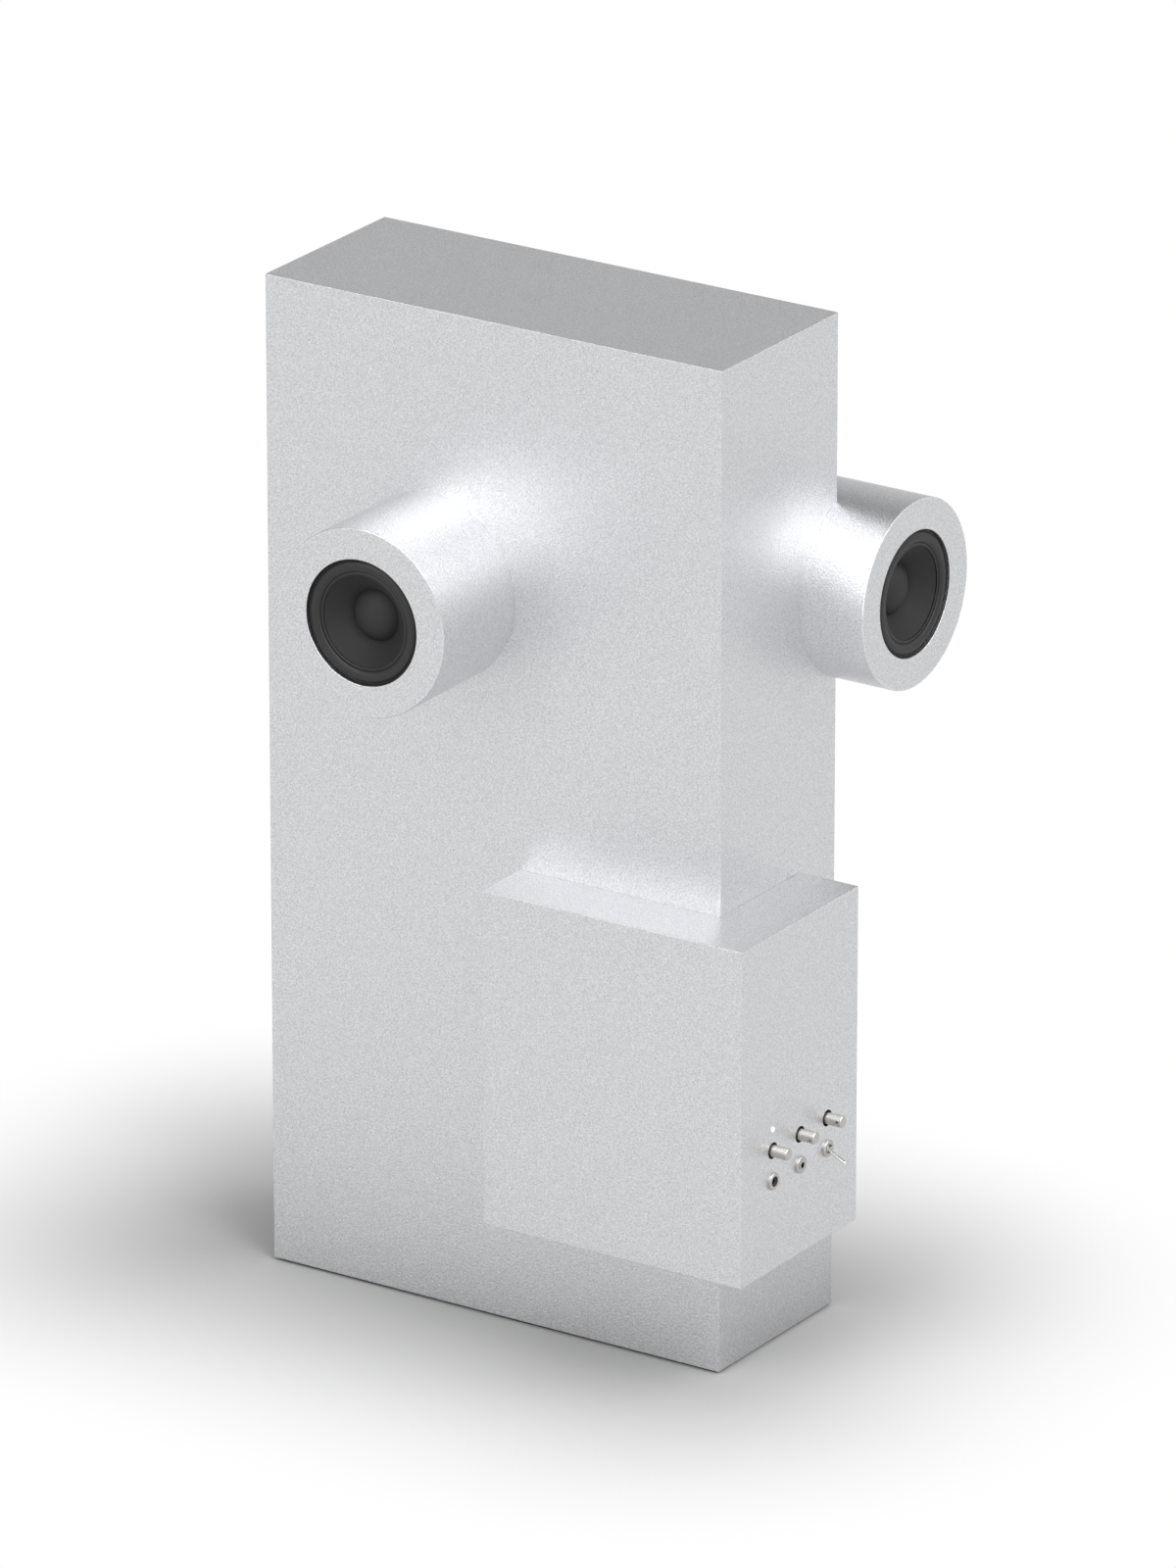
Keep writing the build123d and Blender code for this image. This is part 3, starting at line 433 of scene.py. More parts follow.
def make_grain_group():
    """Grain of a blasted, moulded or fibrous surface: fine dimples over broader clouds."""
    cloud_scale = 0.06
    tree, entry, result = new_group(
        "Surface grain",
        [
            ("Vector", "NodeSocketVector", None),
            ("Size", "NodeSocketFloat", 0.001),
            ("Contrast", "NodeSocketFloat", 0.1),
            ("Cloud", "NodeSocketFloat", 0.03),
        ],
        ["Tone", "Height"],
    )
    tilted = tree.nodes.new("ShaderNodeMapping")
    tilted.inputs["Rotation"].default_value = GRAIN_TILT
    tree.links.new(entry.outputs["Vector"], tilted.inputs["Vector"])
    point = tilted.outputs["Vector"]
    scale = add_math(tree, "DIVIDE", 1.0, entry.outputs["Size"])
    fine = add_noise(tree, point, scale, detail=2.0, roughness=0.6)
    broad_scale = add_math(tree, "MULTIPLY", scale, cloud_scale)
    broad = add_noise(tree, point, broad_scale, detail=3.0)
    fine_tone = tone_around_one(tree, fine, entry.outputs["Contrast"])
    broad_tone = tone_around_one(tree, broad, entry.outputs["Cloud"])
    tree.links.new(add_math(tree, "MULTIPLY", fine_tone, broad_tone), result.inputs["Tone"])
    tree.links.new(fine, result.inputs["Height"])


def make_rings_group():
    """Marks round or along an axis: lathe turning, pressed ribs and wound wire."""
    tree, entry, result = new_group(
        "Ring marks",
        [
            ("Distance", "NodeSocketFloat", 0.0),
            ("Spacing", "NodeSocketFloat", 0.0002),
            ("Contrast", "NodeSocketFloat", 0.1),
        ],
        ["Tone", "Height"],
    )
    turns = add_math(tree, "DIVIDE", entry.outputs["Distance"], entry.outputs["Spacing"])
    combine = tree.nodes.new("ShaderNodeCombineXYZ")
    tree.links.new(turns, combine.inputs["X"])
    uneven = add_noise(tree, combine.outputs["Vector"], 1.0, detail=3.0, roughness=0.7)
    wave = add_math(tree, "SINE", add_math(tree, "MULTIPLY", turns, 2 * math.pi), 0.0)
    half_wave = add_math(tree, "MULTIPLY", wave, 0.25)
    height = add_math(tree, "ADD", half_wave, uneven)
    tree.links.new(height, result.inputs["Height"])
    tree.links.new(
        tone_around_one(tree, height, entry.outputs["Contrast"]), result.inputs["Tone"]
    )


def make_weave_group():
    """Over and under threads of a woven cloth."""
    tree, entry, result = new_group(
        "Woven threads",
        [
            ("Vector", "NodeSocketVector", None),
            ("Pitch", "NodeSocketFloat", 0.0006),
            ("Contrast", "NodeSocketFloat", 0.4),
        ],
        ["Tone", "Height"],
    )
    separate = tree.nodes.new("ShaderNodeSeparateXYZ")
    tree.links.new(entry.outputs["Vector"], separate.inputs["Vector"])
    waves = []
    for axis in ("X", "Z"):
        turns = add_math(tree, "DIVIDE", separate.outputs[axis], entry.outputs["Pitch"])
        waves.append(add_math(tree, "SINE", add_math(tree, "MULTIPLY", turns, math.pi), 0.0))
    crossed = add_math(tree, "MULTIPLY", waves[0], waves[1])
    height = add_math(tree, "ADD", add_math(tree, "MULTIPLY", crossed, 0.5), 0.5)
    tree.links.new(height, result.inputs["Height"])
    tree.links.new(
        tone_around_one(tree, height, entry.outputs["Contrast"]), result.inputs["Tone"]
    )


# Materials


class Finish:
    """A material under construction: a Principled shader whose colour, roughness and normal
    change over the surface by the pattern of a shader group."""

    def __init__(self, name, colour, roughness, metallic=0.0):
        self.material = bpy.data.materials.new(name)
        self.material.use_nodes = True
        self.material.diffuse_color = (*colour, 1.0)
        self.tree = self.material.node_tree
        self.tree.nodes.clear()
        output = self.tree.nodes.new("ShaderNodeOutputMaterial")
        self.shader = self.tree.nodes.new("ShaderNodeBsdfPrincipled")
        self.tree.links.new(self.shader.outputs["BSDF"], output.inputs["Surface"])
        self.shader.inputs["Metallic"].default_value = metallic
        self.colour = colour
        self.roughness = roughness
        coordinates = self.tree.nodes.new("ShaderNodeTexCoord")
        self.point = coordinates.outputs["Object"]

    def set(self, **values):
        """Sets shader sockets to plain values, with _ for a space in the socket's name."""
        for label, value in values.items():
            self.shader.inputs[label.replace("_", " ")].default_value = value

    def pattern(self, group, **values):
        """Places a shader group. A value is a number or a socket."""
        node = self.tree.nodes.new("ShaderNodeGroup")
        node.node_tree = bpy.data.node_groups[group]
        for label, value in values.items():
            if isinstance(value, (int, float)):
                node.inputs[label].default_value = value
            else:
                self.tree.links.new(value, node.inputs[label])
        return node.outputs["Tone"], node.outputs["Height"]

    def apply(self, tone, height, depth, rough_swing=0.0):
        """Feeds a tone to the colour and the roughness, and a height in metres to the normal."""
        tint = self.tree.nodes.new("ShaderNodeVectorMath")
        tint.operation = "SCALE"
        tint.inputs[0].default_value = self.colour
        self.tree.links.new(tone, tint.inputs["Scale"])
        self.tree.links.new(tint.outputs["Vector"], self.shader.inputs["Base Color"])
        if rough_swing:
            swing = add_math(self.tree, "MULTIPLY", height, rough_swing)
            rough = add_math(self.tree, "ADD", swing, self.roughness - rough_swing / 2)
            self.tree.links.new(rough, self.shader.inputs["Roughness"])
        else:
            self.shader.inputs["Roughness"].default_value = self.roughness
        bump = self.tree.nodes.new("ShaderNodeBump")
        bump.inputs["Distance"].default_value = depth
        self.tree.links.new(height, bump.inputs["Height"])
        self.tree.links.new(bump.outputs["Normal"], self.shader.inputs["Normal"])

    def centred(self, unit):
        """Object coordinates turned into a unit's seat: X and Y across, Z along its axis."""
        to_seat = seat_of(unit).inverted()
        mapping = self.tree.nodes.new("ShaderNodeMapping")
        mapping.inputs["Location"].default_value = to_seat.translation
        mapping.inputs["Rotation"].default_value = to_seat.to_euler()
        self.tree.links.new(self.point, mapping.inputs["Vector"])
        return mapping.outputs["Vector"]

    def radius_on(self, unit):
        """Distance from a unit's axis."""
        flat = vector_step(self.tree, "MULTIPLY", self.centred(unit), (1, 1, 0))
        return vector_step(self.tree, "LENGTH", flat.outputs["Vector"]).outputs["Value"]

    def paint_shade_band(self, tone, unit, dark, light, share):
        """Paints shade into a tone: lowers it to a share of itself from a light radius on a unit to a dark
        one.
        """
        band = self.tree.nodes.new("ShaderNodeMapRange")
        band.interpolation_type = "SMOOTHSTEP"
        self.tree.links.new(self.radius_on(unit), band.inputs["Value"])
        band.inputs["From Min"].default_value = dark
        band.inputs["From Max"].default_value = light
        band.inputs["To Min"].default_value = share
        band.inputs["To Max"].default_value = 1.0
        return add_math(self.tree, "MULTIPLY", tone, band.outputs["Result"])

    def along(self, axis):
        """One coordinate of the point."""
        separate = self.tree.nodes.new("ShaderNodeSeparateXYZ")
        self.tree.links.new(self.point, separate.inputs["Vector"])
        return separate.outputs[axis]


def grained(
    name,
    colour,
    roughness,
    size,
    depth,
    metallic=0.0,
    contrast=0.1,
    cloud=0.03,
    swing=0.0,
    painted_shade=None,
):
    """A material with the grain of a blasted, moulded, cast or fibrous surface.

    A painted shade is a unit, its dark and its light radius, and the share of the colour left there: a band
    darkened by radius in place of shade."""
    finish = Finish(name, colour, roughness, metallic)
    tone, height = finish.pattern(
        "Surface grain", Vector=finish.point, Size=size, Contrast=contrast, Cloud=cloud
    )
    if painted_shade:
        tone = finish.paint_shade_band(tone, *painted_shade)
    finish.apply(tone, height, depth, swing)
    return finish


def marked_along(name, axis, colour, roughness, spacing, depth, metallic=0.0, contrast=0.1):
    """A material with marks at even places along one coordinate."""
    finish = Finish(name, colour, roughness, metallic)
    tone, height = finish.pattern(
        "Ring marks", Distance=finish.along(axis), Spacing=spacing, Contrast=contrast
    )
    finish.apply(tone, height, depth, rough_swing=0.05)
    return finish


def dress(material, *nodes):
    """Gives a material to CAD nodes."""
    for node in nodes:
        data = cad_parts[node].data
        data.materials.clear()
        data.materials.append(material)


def both(*endings):
    """Names of the nodes with these endings in both drive units."""
    return [f"{unit}_{ending}" for unit in UNITS for ending in endings]


# Pieces


class LOUDSPEAKER_OT_groups(Operator):
    """Builds the shader groups that the finishes share"""

    bl_idname = "loudspeaker.groups"
    bl_label = "Shared patterns"

    def execute(self, context):
        make_grain_group()
        make_rings_group()
        make_weave_group()
        return {"FINISHED"}


class LOUDSPEAKER_OT_cabinet(Operator):
    """Blasts the slab, the housing and the pods, and finishes the plates that close them"""

    bl_idname = "loudspeaker.cabinet"
    bl_label = "Cabinet"

    def execute(self, context):
        colours = context.scene.loudspeaker_colours
        grains = context.scene.loudspeaker_grains
        blast = {
            "roughness": 0.34,
            "size": grains.blast,
            "depth": grains.blast_depth,
            "metallic": 1.0,
            "contrast": BLAST_CONTRAST,
            "swing": 0.1,
        }
        blasted = grained("Blasted aluminium", colours.aluminium, **blast)
        dress(blasted.material, "slab_shell", "control_housing")
        for unit in UNITS:
            # Painted light: each pod gets its own copy of the blasted aluminium, brighter on the barrel and
            # back to the plain colour on the ring face
            outer = reach_of(f"{unit}_pod", unit)[1]
            face, barrel = (outer - edge for edge in BARREL_EDGE)
            turned = grained(
                f"Blasted aluminium, {unit} pod",
                [channel * BARREL_PAINTED_LIGHT_GAIN for channel in colours.aluminium],
                painted_shade=(unit, face, barrel, 1 / BARREL_PAINTED_LIGHT_GAIN),
                **blast,
            )
            dress(turned.material, f"{unit}_pod")
        plate = grained(
            "Sheet aluminium",
            colours.plate,
            roughness=0.38,
            size=0.0006,
            depth=0.00002,
            metallic=1.0,
            contrast=0.1,
            cloud=0.06,
            swing=0.12,
        )
        dress(plate.material, "base_plate", "housing_hatch", *both("pod_back"))
        zinc = grained(
            "Zinc plating",
            (0.56, 0.57, 0.59),
            roughness=0.3,
            size=0.0004,
            depth=0.00001,
            metallic=1.0,
            contrast=0.12,
            cloud=0.2,
            swing=0.15,
        )
        dress(
            zinc.material,
            "base_plate_screws",
            "housing_hatch_screws",
            "pod_back_screws",
            "driver_screws",
            "amplifier_board_screws",
            "control_board_screws",
            *both("top_plate", "yoke"),
        )
        foot = grained(
            "Foot rubber",
            (0.03, 0.03, 0.03),
            roughness=0.75,
            size=0.0008,
            depth=0.00008,
            contrast=0.3,
            cloud=0.2,
            swing=0.2,
        )
        dress(foot.material, "base_pad", "lead_grommets")
        return {"FINISHED"}


class LOUDSPEAKER_OT_drive_units(Operator):
    """Finishes the cones, dust caps, baskets and magnet systems of both drive units"""

    bl_idname = "loudspeaker.drive_units"
    bl_label = "Drive units"

    def execute(self, context):
        colours = context.scene.loudspeaker_colours
        for unit in UNITS:
            glued = reach_of(f"{unit}_dust_cap", unit)[1]
            paper = Finish(f"Cone paper, {unit}", colours.cone, 0.72)
            tone, height = paper.pattern(
                "Ring marks", Distance=paper.radius_on(unit), Spacing=0.0012, Contrast=0.25
            )
            # Painted shade on the cone next to the dust cap's edge
            tone = paper.paint_shade_band(tone, unit, glued, glued + CAP_SHADE_WIDTH, CONE_SHADE)
            paper.apply(tone, height, depth=0.00003, rough_swing=0.05)
            dress(paper.material, f"{unit}_cone")
            # The dust cap gets painted shade just inside its edge
            cap = grained(
                f"Dust cap paper, {unit}",
                [channel * CAP_GAIN for channel in colours.cone],
                roughness=0.68,
                size=0.0007,
                depth=0.00002,
                contrast=0.2,
                cloud=0.1,
                swing=0.1,
                painted_shade=(unit, glued, glued - CAP_SHADE_WIDTH, CAP_SHADE),
            )
            dress(cap.material, f"{unit}_dust_cap")
        black = grained(
            "Black frame",
            (0.025, 0.025, 0.026),
            roughness=0.5,
            size=0.0005,
            depth=0.00002,
            contrast=0.2,
            cloud=0.1,
            swing=0.15,
        )
        dress(black.material, *both("basket"))
        foam = grained(
            "Gasket foam",
            (0.02, 0.02, 0.02),
            roughness=0.9,
            size=0.0004,
            depth=0.0001,
            contrast=0.6,
            cloud=0.2,
        )
        dress(foam.material, *both("gasket"))
        ferrite = grained(
            "Ferrite",
            (0.07, 0.068, 0.068),
            roughness=0.6,
            size=0.0009,
            depth=0.00004,
            contrast=0.35,
            cloud=0.25,
            swing=0.2,
        )
        dress(ferrite.material, *both("magnet"))
        for unit, axis in (("front", "Y"), ("side", "X")):
            copper = marked_along(
                f"Wound copper, {unit}",
                axis,
                (0.72, 0.36, 0.2),
                roughness=0.35,
                spacing=0.0002,
                depth=0.00004,
                metallic=1.0,
                contrast=0.35,
            )
            dress(copper.material, f"{unit}_voice_coil")
        return {"FINISHED"}


def spin_profile(name, chain, unit, steps, thickness):
    """A sheet turned round a unit's axis from a chain of edges in the plane of X and Z."""
    bmesh.ops.spin(
        chain,
        geom=chain.verts[:] + chain.edges[:],
        cent=(0, 0, 0),
        axis=(0, 0, 1),
        angle=2 * math.pi,
        steps=steps,
        use_merge=True,
        use_duplicate=False,
    )
    bmesh.ops.remove_doubles(chain, verts=chain.verts, dist=0.01 * MILLIMETRE)
    bmesh.ops.recalc_face_normals(chain, faces=chain.faces)
    bmesh.ops.solidify(chain, geom=chain.faces[:], thickness=thickness)
    bmesh.ops.transform(chain, matrix=seat_of(unit), verts=chain.verts)
    bmesh.ops.recalc_face_normals(chain, faces=chain.faces)
    for face in chain.faces:
        face.smooth = True
    mesh = bpy.data.meshes.new(name)
    chain.to_mesh(mesh)
    chain.free()
    piece = bpy.data.objects.new(name, mesh)
    bpy.context.scene.collection.objects.link(piece)
    return piece


def start_chain(radius, depth):
    """A mesh with one vertex at a radius and a depth, the start of a profile."""
    chain = bmesh.new()
    chain.verts.new((radius, 0, depth))
    return chain


def grow(chain, radius, depth):
    """Adds a straight stretch to the end of a profile."""
    chain.verts.ensure_lookup_table()
    last = chain.verts[-1]
    made = bmesh.ops.extrude_vert_indiv(chain, verts=[last])["verts"][0]
    made.co = Vector((radius, 0, depth))


def grow_roll(chain, radius, height, steps):
    """Adds a half roll to the end of a profile, that ends at a smaller radius and same depth."""
    chain.verts.ensure_lookup_table()
    last = chain.verts[-1]
    middle = (last.co.x + radius) / 2
    base = last.co.z
    known = set(chain.verts)
    bmesh.ops.spin(
        chain,
        geom=[last],
        cent=(middle, 0, base),
        axis=(0, -1, 0),
        angle=math.pi,
        steps=steps,
        use_duplicate=False,
    )
    roll = [vertex for vertex in chain.verts if vertex not in known]
    squeeze = height / abs(last.co.x - middle)
    bmesh.ops.scale(
        chain,
        vec=(1, 1, squeeze),
        space=Matrix.Translation((0, 0, -base)),
        verts=roll,
    )


def ramp(value):
    """Smooth step from 0 to 1."""
    value = min(1.0, max(0.0, value))
    return value * value * (3 - 2 * value)


def stretch_between(piece, unit, outer, inner):
    """Makes a ring follow the cabinet at its outer radius and the diaphragm at its inner one."""
    seat = seat_of(unit)
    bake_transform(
        piece,
        "cabinet",
        f"{unit}_diaphragm",
        start=seat @ Vector((outer, 0, 0)),
        end=seat @ Vector((inner, 0, 0)),
    )
    to_seat = seat.inverted()
    shares = piece.data.attributes["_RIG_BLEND"].data
    for vertex, share in zip(piece.data.vertices, shares):
        point = to_seat @ vertex.co
        share.value = ramp((outer - math.hypot(point.x, point.y)) / (outer - inner))


class LOUDSPEAKER_OT_suspensions(Operator):
    """Builds the rubber surrounds and the pleated spiders that hold the cones"""

    bl_idname = "loudspeaker.suspensions"
    bl_label = "Surrounds and spiders"

    def execute(self, context):
        sizes = context.scene.loudspeaker_surround
        colours = context.scene.loudspeaker_colours
        cloth = Finish("Spider cloth", (0.42, 0.3, 0.13), 0.85)
        tone, height = cloth.pattern("Woven threads", Vector=cloth.point)
        cloth.apply(tone, height, depth=0.00008)
        for unit in UNITS:
            self.make_surround(unit, sizes, colours.rubber)
            self.make_spider(unit, sizes, cloth.material)
        return {"FINISHED"}

    def make_surround(self, unit, sizes, colour):
        """A half roll between two flat lands, seen through the mouth."""
        node = f"{unit}_surround"
        inner, outer, back, front = reach_of(node, unit)
        roll_outer = outer - sizes.outer_land
        roll_inner = roll_outer - sizes.roll_width
        crest = front - sizes.thickness / 2
        land = back + LAND_HEIGHT - sizes.thickness / 2
        chain = start_chain(outer - RIM_ROOM, land)
        grow(chain, roll_outer, land)
        grow_roll(chain, roll_inner, crest - land, ROLL_STEPS)
        grow(chain, inner + RIM_ROOM, land)
        piece = spin_profile(f"{unit}_roll", chain, unit, sizes.turns, sizes.thickness)
        # Painted shade on the surround just inside the mouth's rim
        rubber = grained(
            f"Surround rubber, {unit}",
            colour,
            roughness=0.52,
            size=0.0009,
            depth=0.00001,
            contrast=0.15,
            cloud=0.15,
            swing=0.1,
            painted_shade=(unit, roll_outer, roll_outer - MOUTH_SHADE_WIDTH, MOUTH_SHADE),
        )
        piece.data.materials.append(rubber.material)
        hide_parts(node)
        stretch_between(piece, unit, roll_outer, roll_inner)

    def make_spider(self, unit, sizes, material):
        """Round pleats between a flat outer ring and a flat hub."""
        node = f"{unit}_spider"
        inner, outer, back, front = reach_of(node, unit)
        level = (back + front) / 2
        swing = (front - back - SPIDER_THICKNESS) / 2
        pleat = (outer - SPIDER_LAND - inner - SPIDER_HUB) / (2 * sizes.pleats)
        chain = start_chain(outer, level)
        grow(chain, outer - SPIDER_LAND, level)
        for step in range(2 * sizes.pleats):
            radius = outer - SPIDER_LAND - (step + 1) * pleat
            grow_roll(chain, radius, swing if step % 2 == 0 else -swing, PLEAT_STEPS)
        grow(chain, inner, level)
        piece = spin_profile(f"{unit}_pleats", chain, unit, sizes.turns, SPIDER_THICKNESS)
        piece.data.materials.append(material)
        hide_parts(node)
        stretch_between(piece, unit, outer - SPIDER_LAND, inner + SPIDER_HUB)


class LOUDSPEAKER_OT_controls(Operator):
    """Finishes the knobs, the toggle, the sockets, their nuts and the lamp"""

    bl_idname = "loudspeaker.controls"
    bl_label = "Controls"

    def execute(self, context):
        colours = context.scene.loudspeaker_colours
        grains = context.scene.loudspeaker_grains
        turned = marked_along(
            "Turned aluminium",
            "X",
            colours.turned,
            roughness=0.34,
            spacing=grains.turning,
            depth=0.000008,
            metallic=1.0,
            contrast=0.2,
        )
        dress(turned.material, *[f"{knob}_knob" for knob in KNOBS])
        plated = marked_along(
            "Plated metal",
            "X",
            colours.plated,
            roughness=0.3,
            spacing=grains.turning,
            depth=0.000004,
            metallic=1.0,
            contrast=0.06,
        )
        dress(plated.material, "panel_nuts", "audio_jack", "toggle_body")
        polished = grained(
            "Polished lever",
            (0.84, 0.83, 0.81),
            roughness=0.28,
            size=0.0004,
            depth=0.000004,
            metallic=1.0,
            contrast=0.06,
            cloud=0.04,
            swing=0.06,
        )
        dress(polished.material, "toggle_lever")
        black = grained(
            "Black moulding",
            (0.02, 0.02, 0.021),
            roughness=0.45,
            size=0.0005,
            depth=0.00002,
            contrast=0.2,
            cloud=0.1,
            swing=0.15,
        )
        pots = [f"{knob}_pot" for knob in KNOBS]
        dress(black.material, "power_jack", "lead_terminals", *pots)
        steel = grained(
            "Dark steel",
            (0.16, 0.16, 0.165),
            roughness=0.4,
            size=0.0003,
            depth=0.00001,
            metallic=1.0,
            contrast=0.2,
            cloud=0.1,
            swing=0.1,
        )
        dress(steel.material, *[f"{knob}_shaft" for knob in KNOBS])
        grub = grained(
            "Screw steel",
            (0.36, 0.355, 0.35),
            roughness=0.36,
            size=0.0003,
            depth=0.00001,
            metallic=1.0,
            contrast=0.2,
            cloud=0.1,
            swing=0.1,
        )
        dress(grub.material, *[f"{knob}_knob_screw" for knob in KNOBS])
        lamp = grained(
            "Lamp lens",
            (0.92, 0.94, 0.96),
            roughness=0.25,
            size=0.0008,
            depth=0.00001,
            contrast=0.05,
            cloud=0.05,
        )
        lamp.set(Emission_Color=(1.0, 1.0, 1.0, 1.0), Emission_Strength=0.9)
        dress(lamp.material, "status_lamp")
        return {"FINISHED"}


class LOUDSPEAKER_OT_electronics(Operator):
    """Finishes the boards, the heat sink, the capacitors and the driver leads"""

    bl_idname = "loudspeaker.electronics"
    bl_label = "Electronics"

    def execute(self, context):
        laminate = Finish("Board laminate", (0.03, 0.14, 0.06), 0.42)
        tone, height = laminate.pattern("Woven threads", Vector=laminate.point, Contrast=0.3)
        laminate.apply(tone, height, depth=0.00002, rough_swing=0.1)
        laminate.set(Coat_Weight=0.3)
        dress(laminate.material, "amplifier_board", "control_board")
        sink = grained(
            "Black anodised",
            (0.03, 0.03, 0.032),
            roughness=0.42,
            size=0.0006,
            depth=0.00001,
            metallic=0.6,
            contrast=0.15,
            cloud=0.1,
            swing=0.1,
        )
        dress(sink.material, "heat_sink")
        sleeve = marked_along(
            "Capacitor sleeve",
            "Y",
            (0.02, 0.022, 0.05),
            roughness=0.3,
            spacing=0.004,
            depth=0.00001,
            contrast=0.2,
        )
        dress(sleeve.material, "capacitors")
        lead = grained(
            "Lead sleeve",
            (0.024, 0.024, 0.025),
            roughness=0.55,
            size=0.0007,
            depth=0.00002,
            contrast=0.2,
            cloud=0.15,
            swing=0.1,
        )
        dress(lead.material, "driver_leads")
        return {"FINISHED"}


# Stage


def distance_from_foot(tree):
    """Distance on the floor from the foot of the slab, moved by the shadow's shift."""
    low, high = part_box("base_pad")
    middle = (low + high) / 2 + Vector(SHADOW_SHIFT)
    half = (high - low) / 2
    geometry = tree.nodes.new("ShaderNodeNewGeometry")
    point = vector_step(tree, "SUBTRACT", geometry.outputs["Position"], middle)
    side = vector_step(tree, "ABSOLUTE", point.outputs["Vector"])
    past = vector_step(tree, "SUBTRACT", side.outputs["Vector"], half)
    outside = vector_step(tree, "MAXIMUM", past.outputs["Vector"], (0, 0, 0))
    return vector_step(tree, "LENGTH", outside.outputs["Vector"]).outputs["Value"]


def floor_material(colour, reach, contact):
    """A matt floor that turns into a white background away from the loudspeaker.

    The background is seen by the camera and in reflections. It lights nothing, and the floor keeps the
    shadow, with painted shade along the foot where the floor's colour is darkened. A camera below the floor
    sees through it."""
    material = bpy.data.materials.new("White floor")
    material.use_nodes = True
    tree = material.node_tree
    nodes, links = tree.nodes, tree.links
    shader = nodes["Principled BSDF"]
    shader.inputs["Roughness"].default_value = 0.8
    shader.inputs["Specular IOR Level"].default_value = 0.1
    # Painted shade: ambient occlusion darkens the floor's colour near the loudspeaker, down to the corner
    # share
    crevice = nodes.new("ShaderNodeAmbientOcclusion")
    crevice.inputs["Distance"].default_value = contact
    shade = nodes.new("ShaderNodeMapRange")
    shade.inputs["To Min"].default_value = CORNER_SHADE
    links.new(crevice.outputs["AO"], shade.inputs["Value"])
    tint = nodes.new("ShaderNodeVectorMath")
    tint.operation = "SCALE"
    tint.inputs[0].default_value = colour
    links.new(shade.outputs["Result"], tint.inputs["Scale"])
    links.new(tint.outputs["Vector"], shader.inputs["Base Color"])
    fade = nodes.new("ShaderNodeMapRange")
    fade.interpolation_type = "SMOOTHSTEP"
    fade.inputs["From Max"].default_value = reach
    links.new(distance_from_foot(tree), fade.inputs["Value"])
    light_path = nodes.new("ShaderNodeLightPath")
    seen = light_path.outputs["Is Camera Ray"]
    for ray in ("Is Glossy Ray", "Is Transmission Ray"):
        mirrored = add_math(tree, "MULTIPLY", light_path.outputs[ray], MIRRORED_SHARE)
        seen = add_math(tree, "MAXIMUM", seen, mirrored)
    white = nodes.new("ShaderNodeEmission")
    background = nodes.new("ShaderNodeMixShader")
    share = add_math(tree, "MULTIPLY", seen, fade.outputs["Result"])
    links.new(share, background.inputs["Fac"])
    links.new(shader.outputs["BSDF"], background.inputs[1])
    links.new(white.outputs["Emission"], background.inputs[2])
    clear = nodes.new("ShaderNodeBsdfTransparent")
    sides = nodes.new("ShaderNodeMixShader")
    geometry = nodes.new("ShaderNodeNewGeometry")
    links.new(geometry.outputs["Backfacing"], sides.inputs["Fac"])
    links.new(background.outputs["Shader"], sides.inputs[1])
    links.new(clear.outputs["BSDF"], sides.inputs[2])
    links.new(sides.outputs["Shader"], nodes["Material Output"].inputs["Surface"])
    return material


def aim_at(thing, place, target):
    """Puts a lamp or camera at a place, looking at a target."""
    thing.location = place
    thing.rotation_euler = (target - place).to_track_quat("-Z", "Y").to_euler()


def direction(azimuth, elevation):
    """Unit vector from the object towards an azimuth from its wide face and an elevation."""
    return Vector(
        (
            math.sin(azimuth) * math.cos(elevation),
            -math.cos(azimuth) * math.cos(elevation),
            math.sin(elevation),
        )
    )


def add_lamp(name, azimuth, elevation, strength):
    """A wide lamp, so far away that it lights every side at the same level."""
    lamp = bpy.data.lights.new(name, "SUN")
    lamp.angle = math.radians(LAMP_WIDTH)
    lamp.energy = strength
    holder = bpy.data.objects.new(name, lamp)
    bpy.context.scene.collection.objects.link(holder)
    middle = (cad_low + cad_high) / 2
    towards = direction(math.radians(azimuth), math.radians(elevation))
    aim_at(holder, middle + towards * LAMP_DISTANCE, middle)


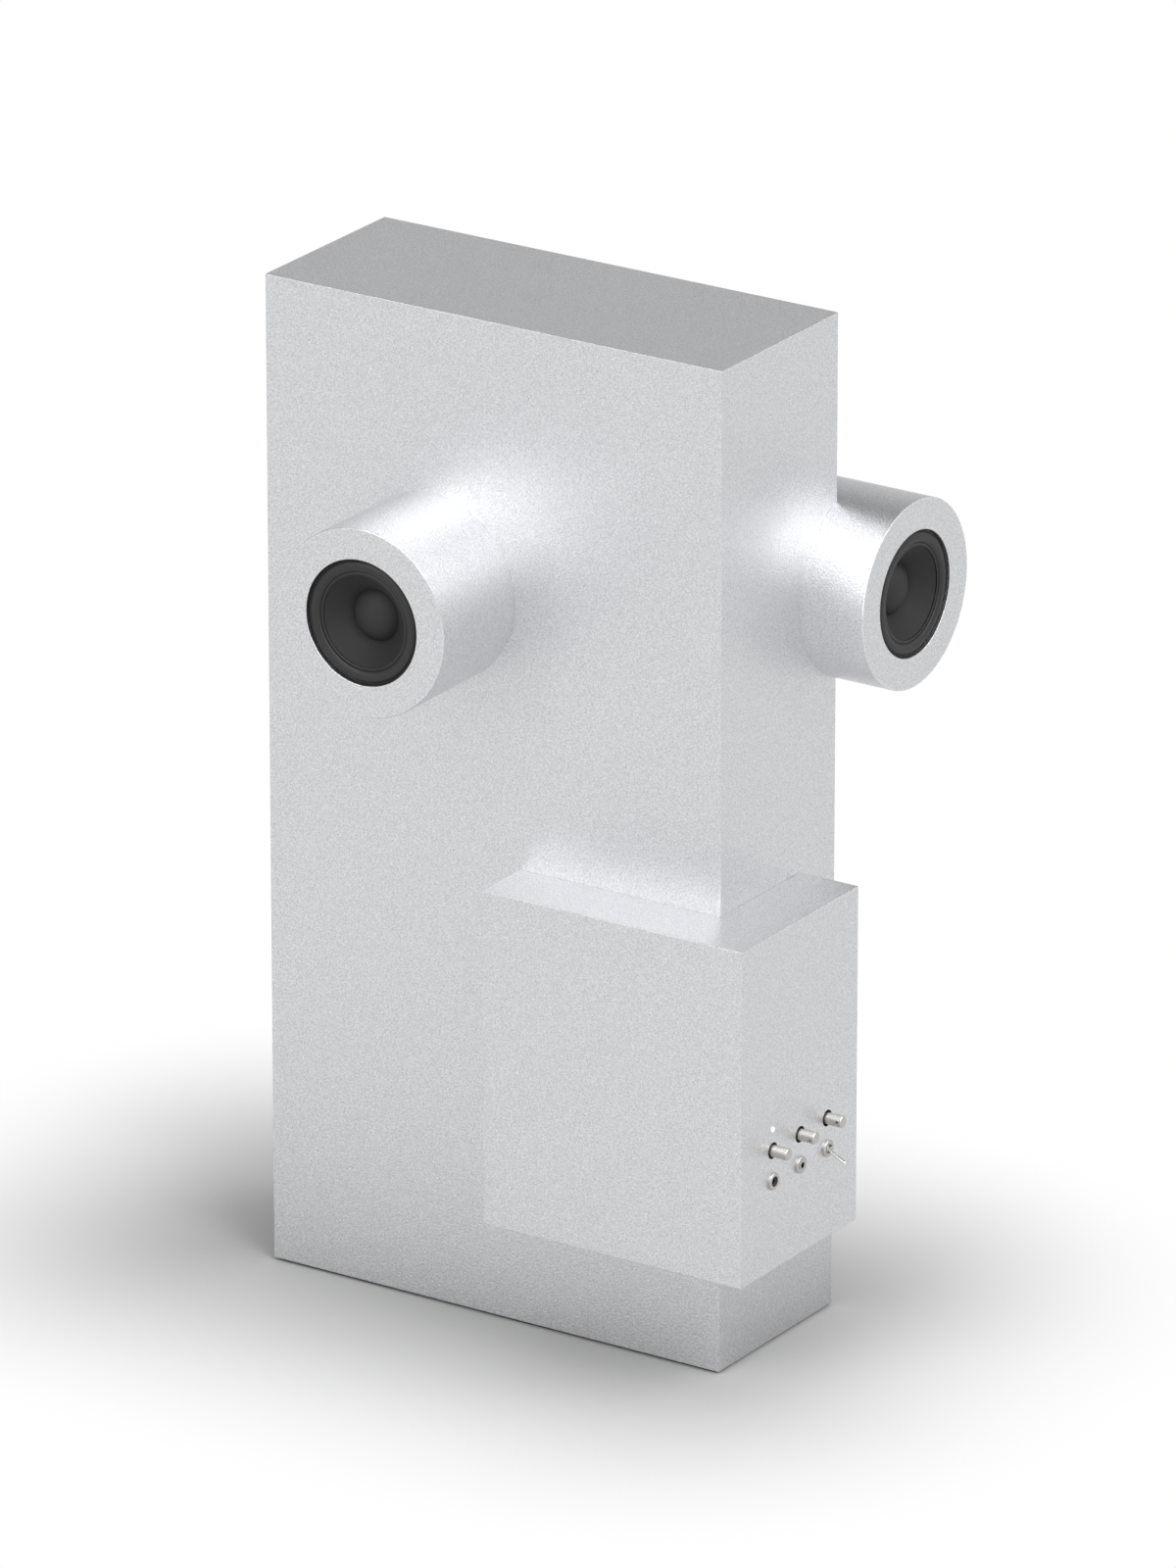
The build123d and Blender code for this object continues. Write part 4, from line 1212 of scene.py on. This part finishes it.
class LOUDSPEAKER_OT_stage(Operator):
    """Adds the pale floor, the room, the wide lamps and the camera"""

    bl_idname = "loudspeaker.stage"
    bl_label = "Stage"

    def execute(self, context):
        settings = context.scene.loudspeaker_stage
        self.make_floor(settings)
        self.make_room(context.scene, settings.room)
        for name, (azimuth, elevation) in LAMPS.items():
            add_lamp(name, azimuth, elevation, getattr(settings, name))
        self.make_camera(context.scene, settings)
        context.scene.view_settings.view_transform = "Standard"
        return {"FINISHED"}

    def make_floor(self, settings):
        ground = bmesh.new()
        bmesh.ops.create_circle(
            ground, cap_ends=True, segments=FLOOR_SEGMENTS, radius=FLOOR_RADIUS
        )
        mesh = bpy.data.meshes.new("Floor")
        ground.to_mesh(mesh)
        ground.free()
        floor = bpy.data.objects.new("Floor", mesh)
        white = floor_material(settings.floor, settings.floor_reach, settings.contact_reach)
        mesh.materials.append(white)
        bpy.context.scene.collection.objects.link(floor)

    def make_room(self, scene, brightness):
        """A dim room that lights the metal evenly and is mirrored in it. The camera sees white."""
        world = bpy.data.worlds.new("Room")
        world.use_nodes = True
        scene.world = world
        nodes, links = world.node_tree.nodes, world.node_tree.links
        light_path = nodes.new("ShaderNodeLightPath")
        level = nodes.new("ShaderNodeMapRange")
        level.inputs["To Min"].default_value = brightness
        level.inputs["To Max"].default_value = 1.0
        links.new(light_path.outputs["Is Camera Ray"], level.inputs["Value"])
        background = nodes["Background"]
        background.inputs["Color"].default_value = (1.0, 1.0, 1.0, 1.0)
        links.new(level.outputs["Result"], background.inputs["Strength"])

    def make_camera(self, scene, settings):
        lens = bpy.data.cameras.new("Camera")
        lens.sensor_width = SENSOR_SIZE
        lens.lens = settings.lens
        lens.clip_end = CLIP_DISTANCE
        camera = bpy.data.objects.new("Camera", lens)
        scene.collection.objects.link(camera)
        aim = Vector(settings.aim)
        place = aim + direction(settings.azimuth, settings.elevation) * settings.distance
        aim_at(camera, place, aim)
        scene.camera = camera


STEPS = (
    LOUDSPEAKER_OT_groups,
    LOUDSPEAKER_OT_cabinet,
    LOUDSPEAKER_OT_drive_units,
    LOUDSPEAKER_OT_suspensions,
    LOUDSPEAKER_OT_controls,
    LOUDSPEAKER_OT_electronics,
    LOUDSPEAKER_OT_stage,
)

SETTINGS = {
    "loudspeaker_colours": FinishColours,
    "loudspeaker_grains": GrainSizes,
    "loudspeaker_surround": SurroundSizes,
    "loudspeaker_stage": StageSettings,
}


class LOUDSPEAKER_PT_steps(Panel):
    """Lists the steps that dress the loudspeaker"""

    bl_idname = "LOUDSPEAKER_PT_steps"
    bl_label = "Loudspeaker"
    bl_space_type = "VIEW_3D"
    bl_region_type = "UI"
    bl_category = "Loudspeaker"

    def draw(self, context):
        for step in STEPS:
            self.layout.operator(step.bl_idname)
        for name, group in SETTINGS.items():
            for key in group.__annotations__:
                self.layout.prop(getattr(context.scene, name), key)


def register():
    for group in SETTINGS.values():
        bpy.utils.register_class(group)
    for name, group in SETTINGS.items():
        setattr(bpy.types.Scene, name, PointerProperty(type=group))
    for step in STEPS:
        bpy.utils.register_class(step)
    bpy.utils.register_class(LOUDSPEAKER_PT_steps)


def unregister():
    bpy.utils.unregister_class(LOUDSPEAKER_PT_steps)
    for step in reversed(STEPS):
        bpy.utils.unregister_class(step)
    for name in SETTINGS:
        delattr(bpy.types.Scene, name)
    for group in SETTINGS.values():
        bpy.utils.unregister_class(group)


def main():
    register()
    bpy.ops.loudspeaker.groups()
    bpy.ops.loudspeaker.cabinet()
    bpy.ops.loudspeaker.drive_units()
    bpy.ops.loudspeaker.suspensions()
    bpy.ops.loudspeaker.controls()
    bpy.ops.loudspeaker.electronics()
    bpy.ops.loudspeaker.stage()


if __name__ == "__main__":
    main()
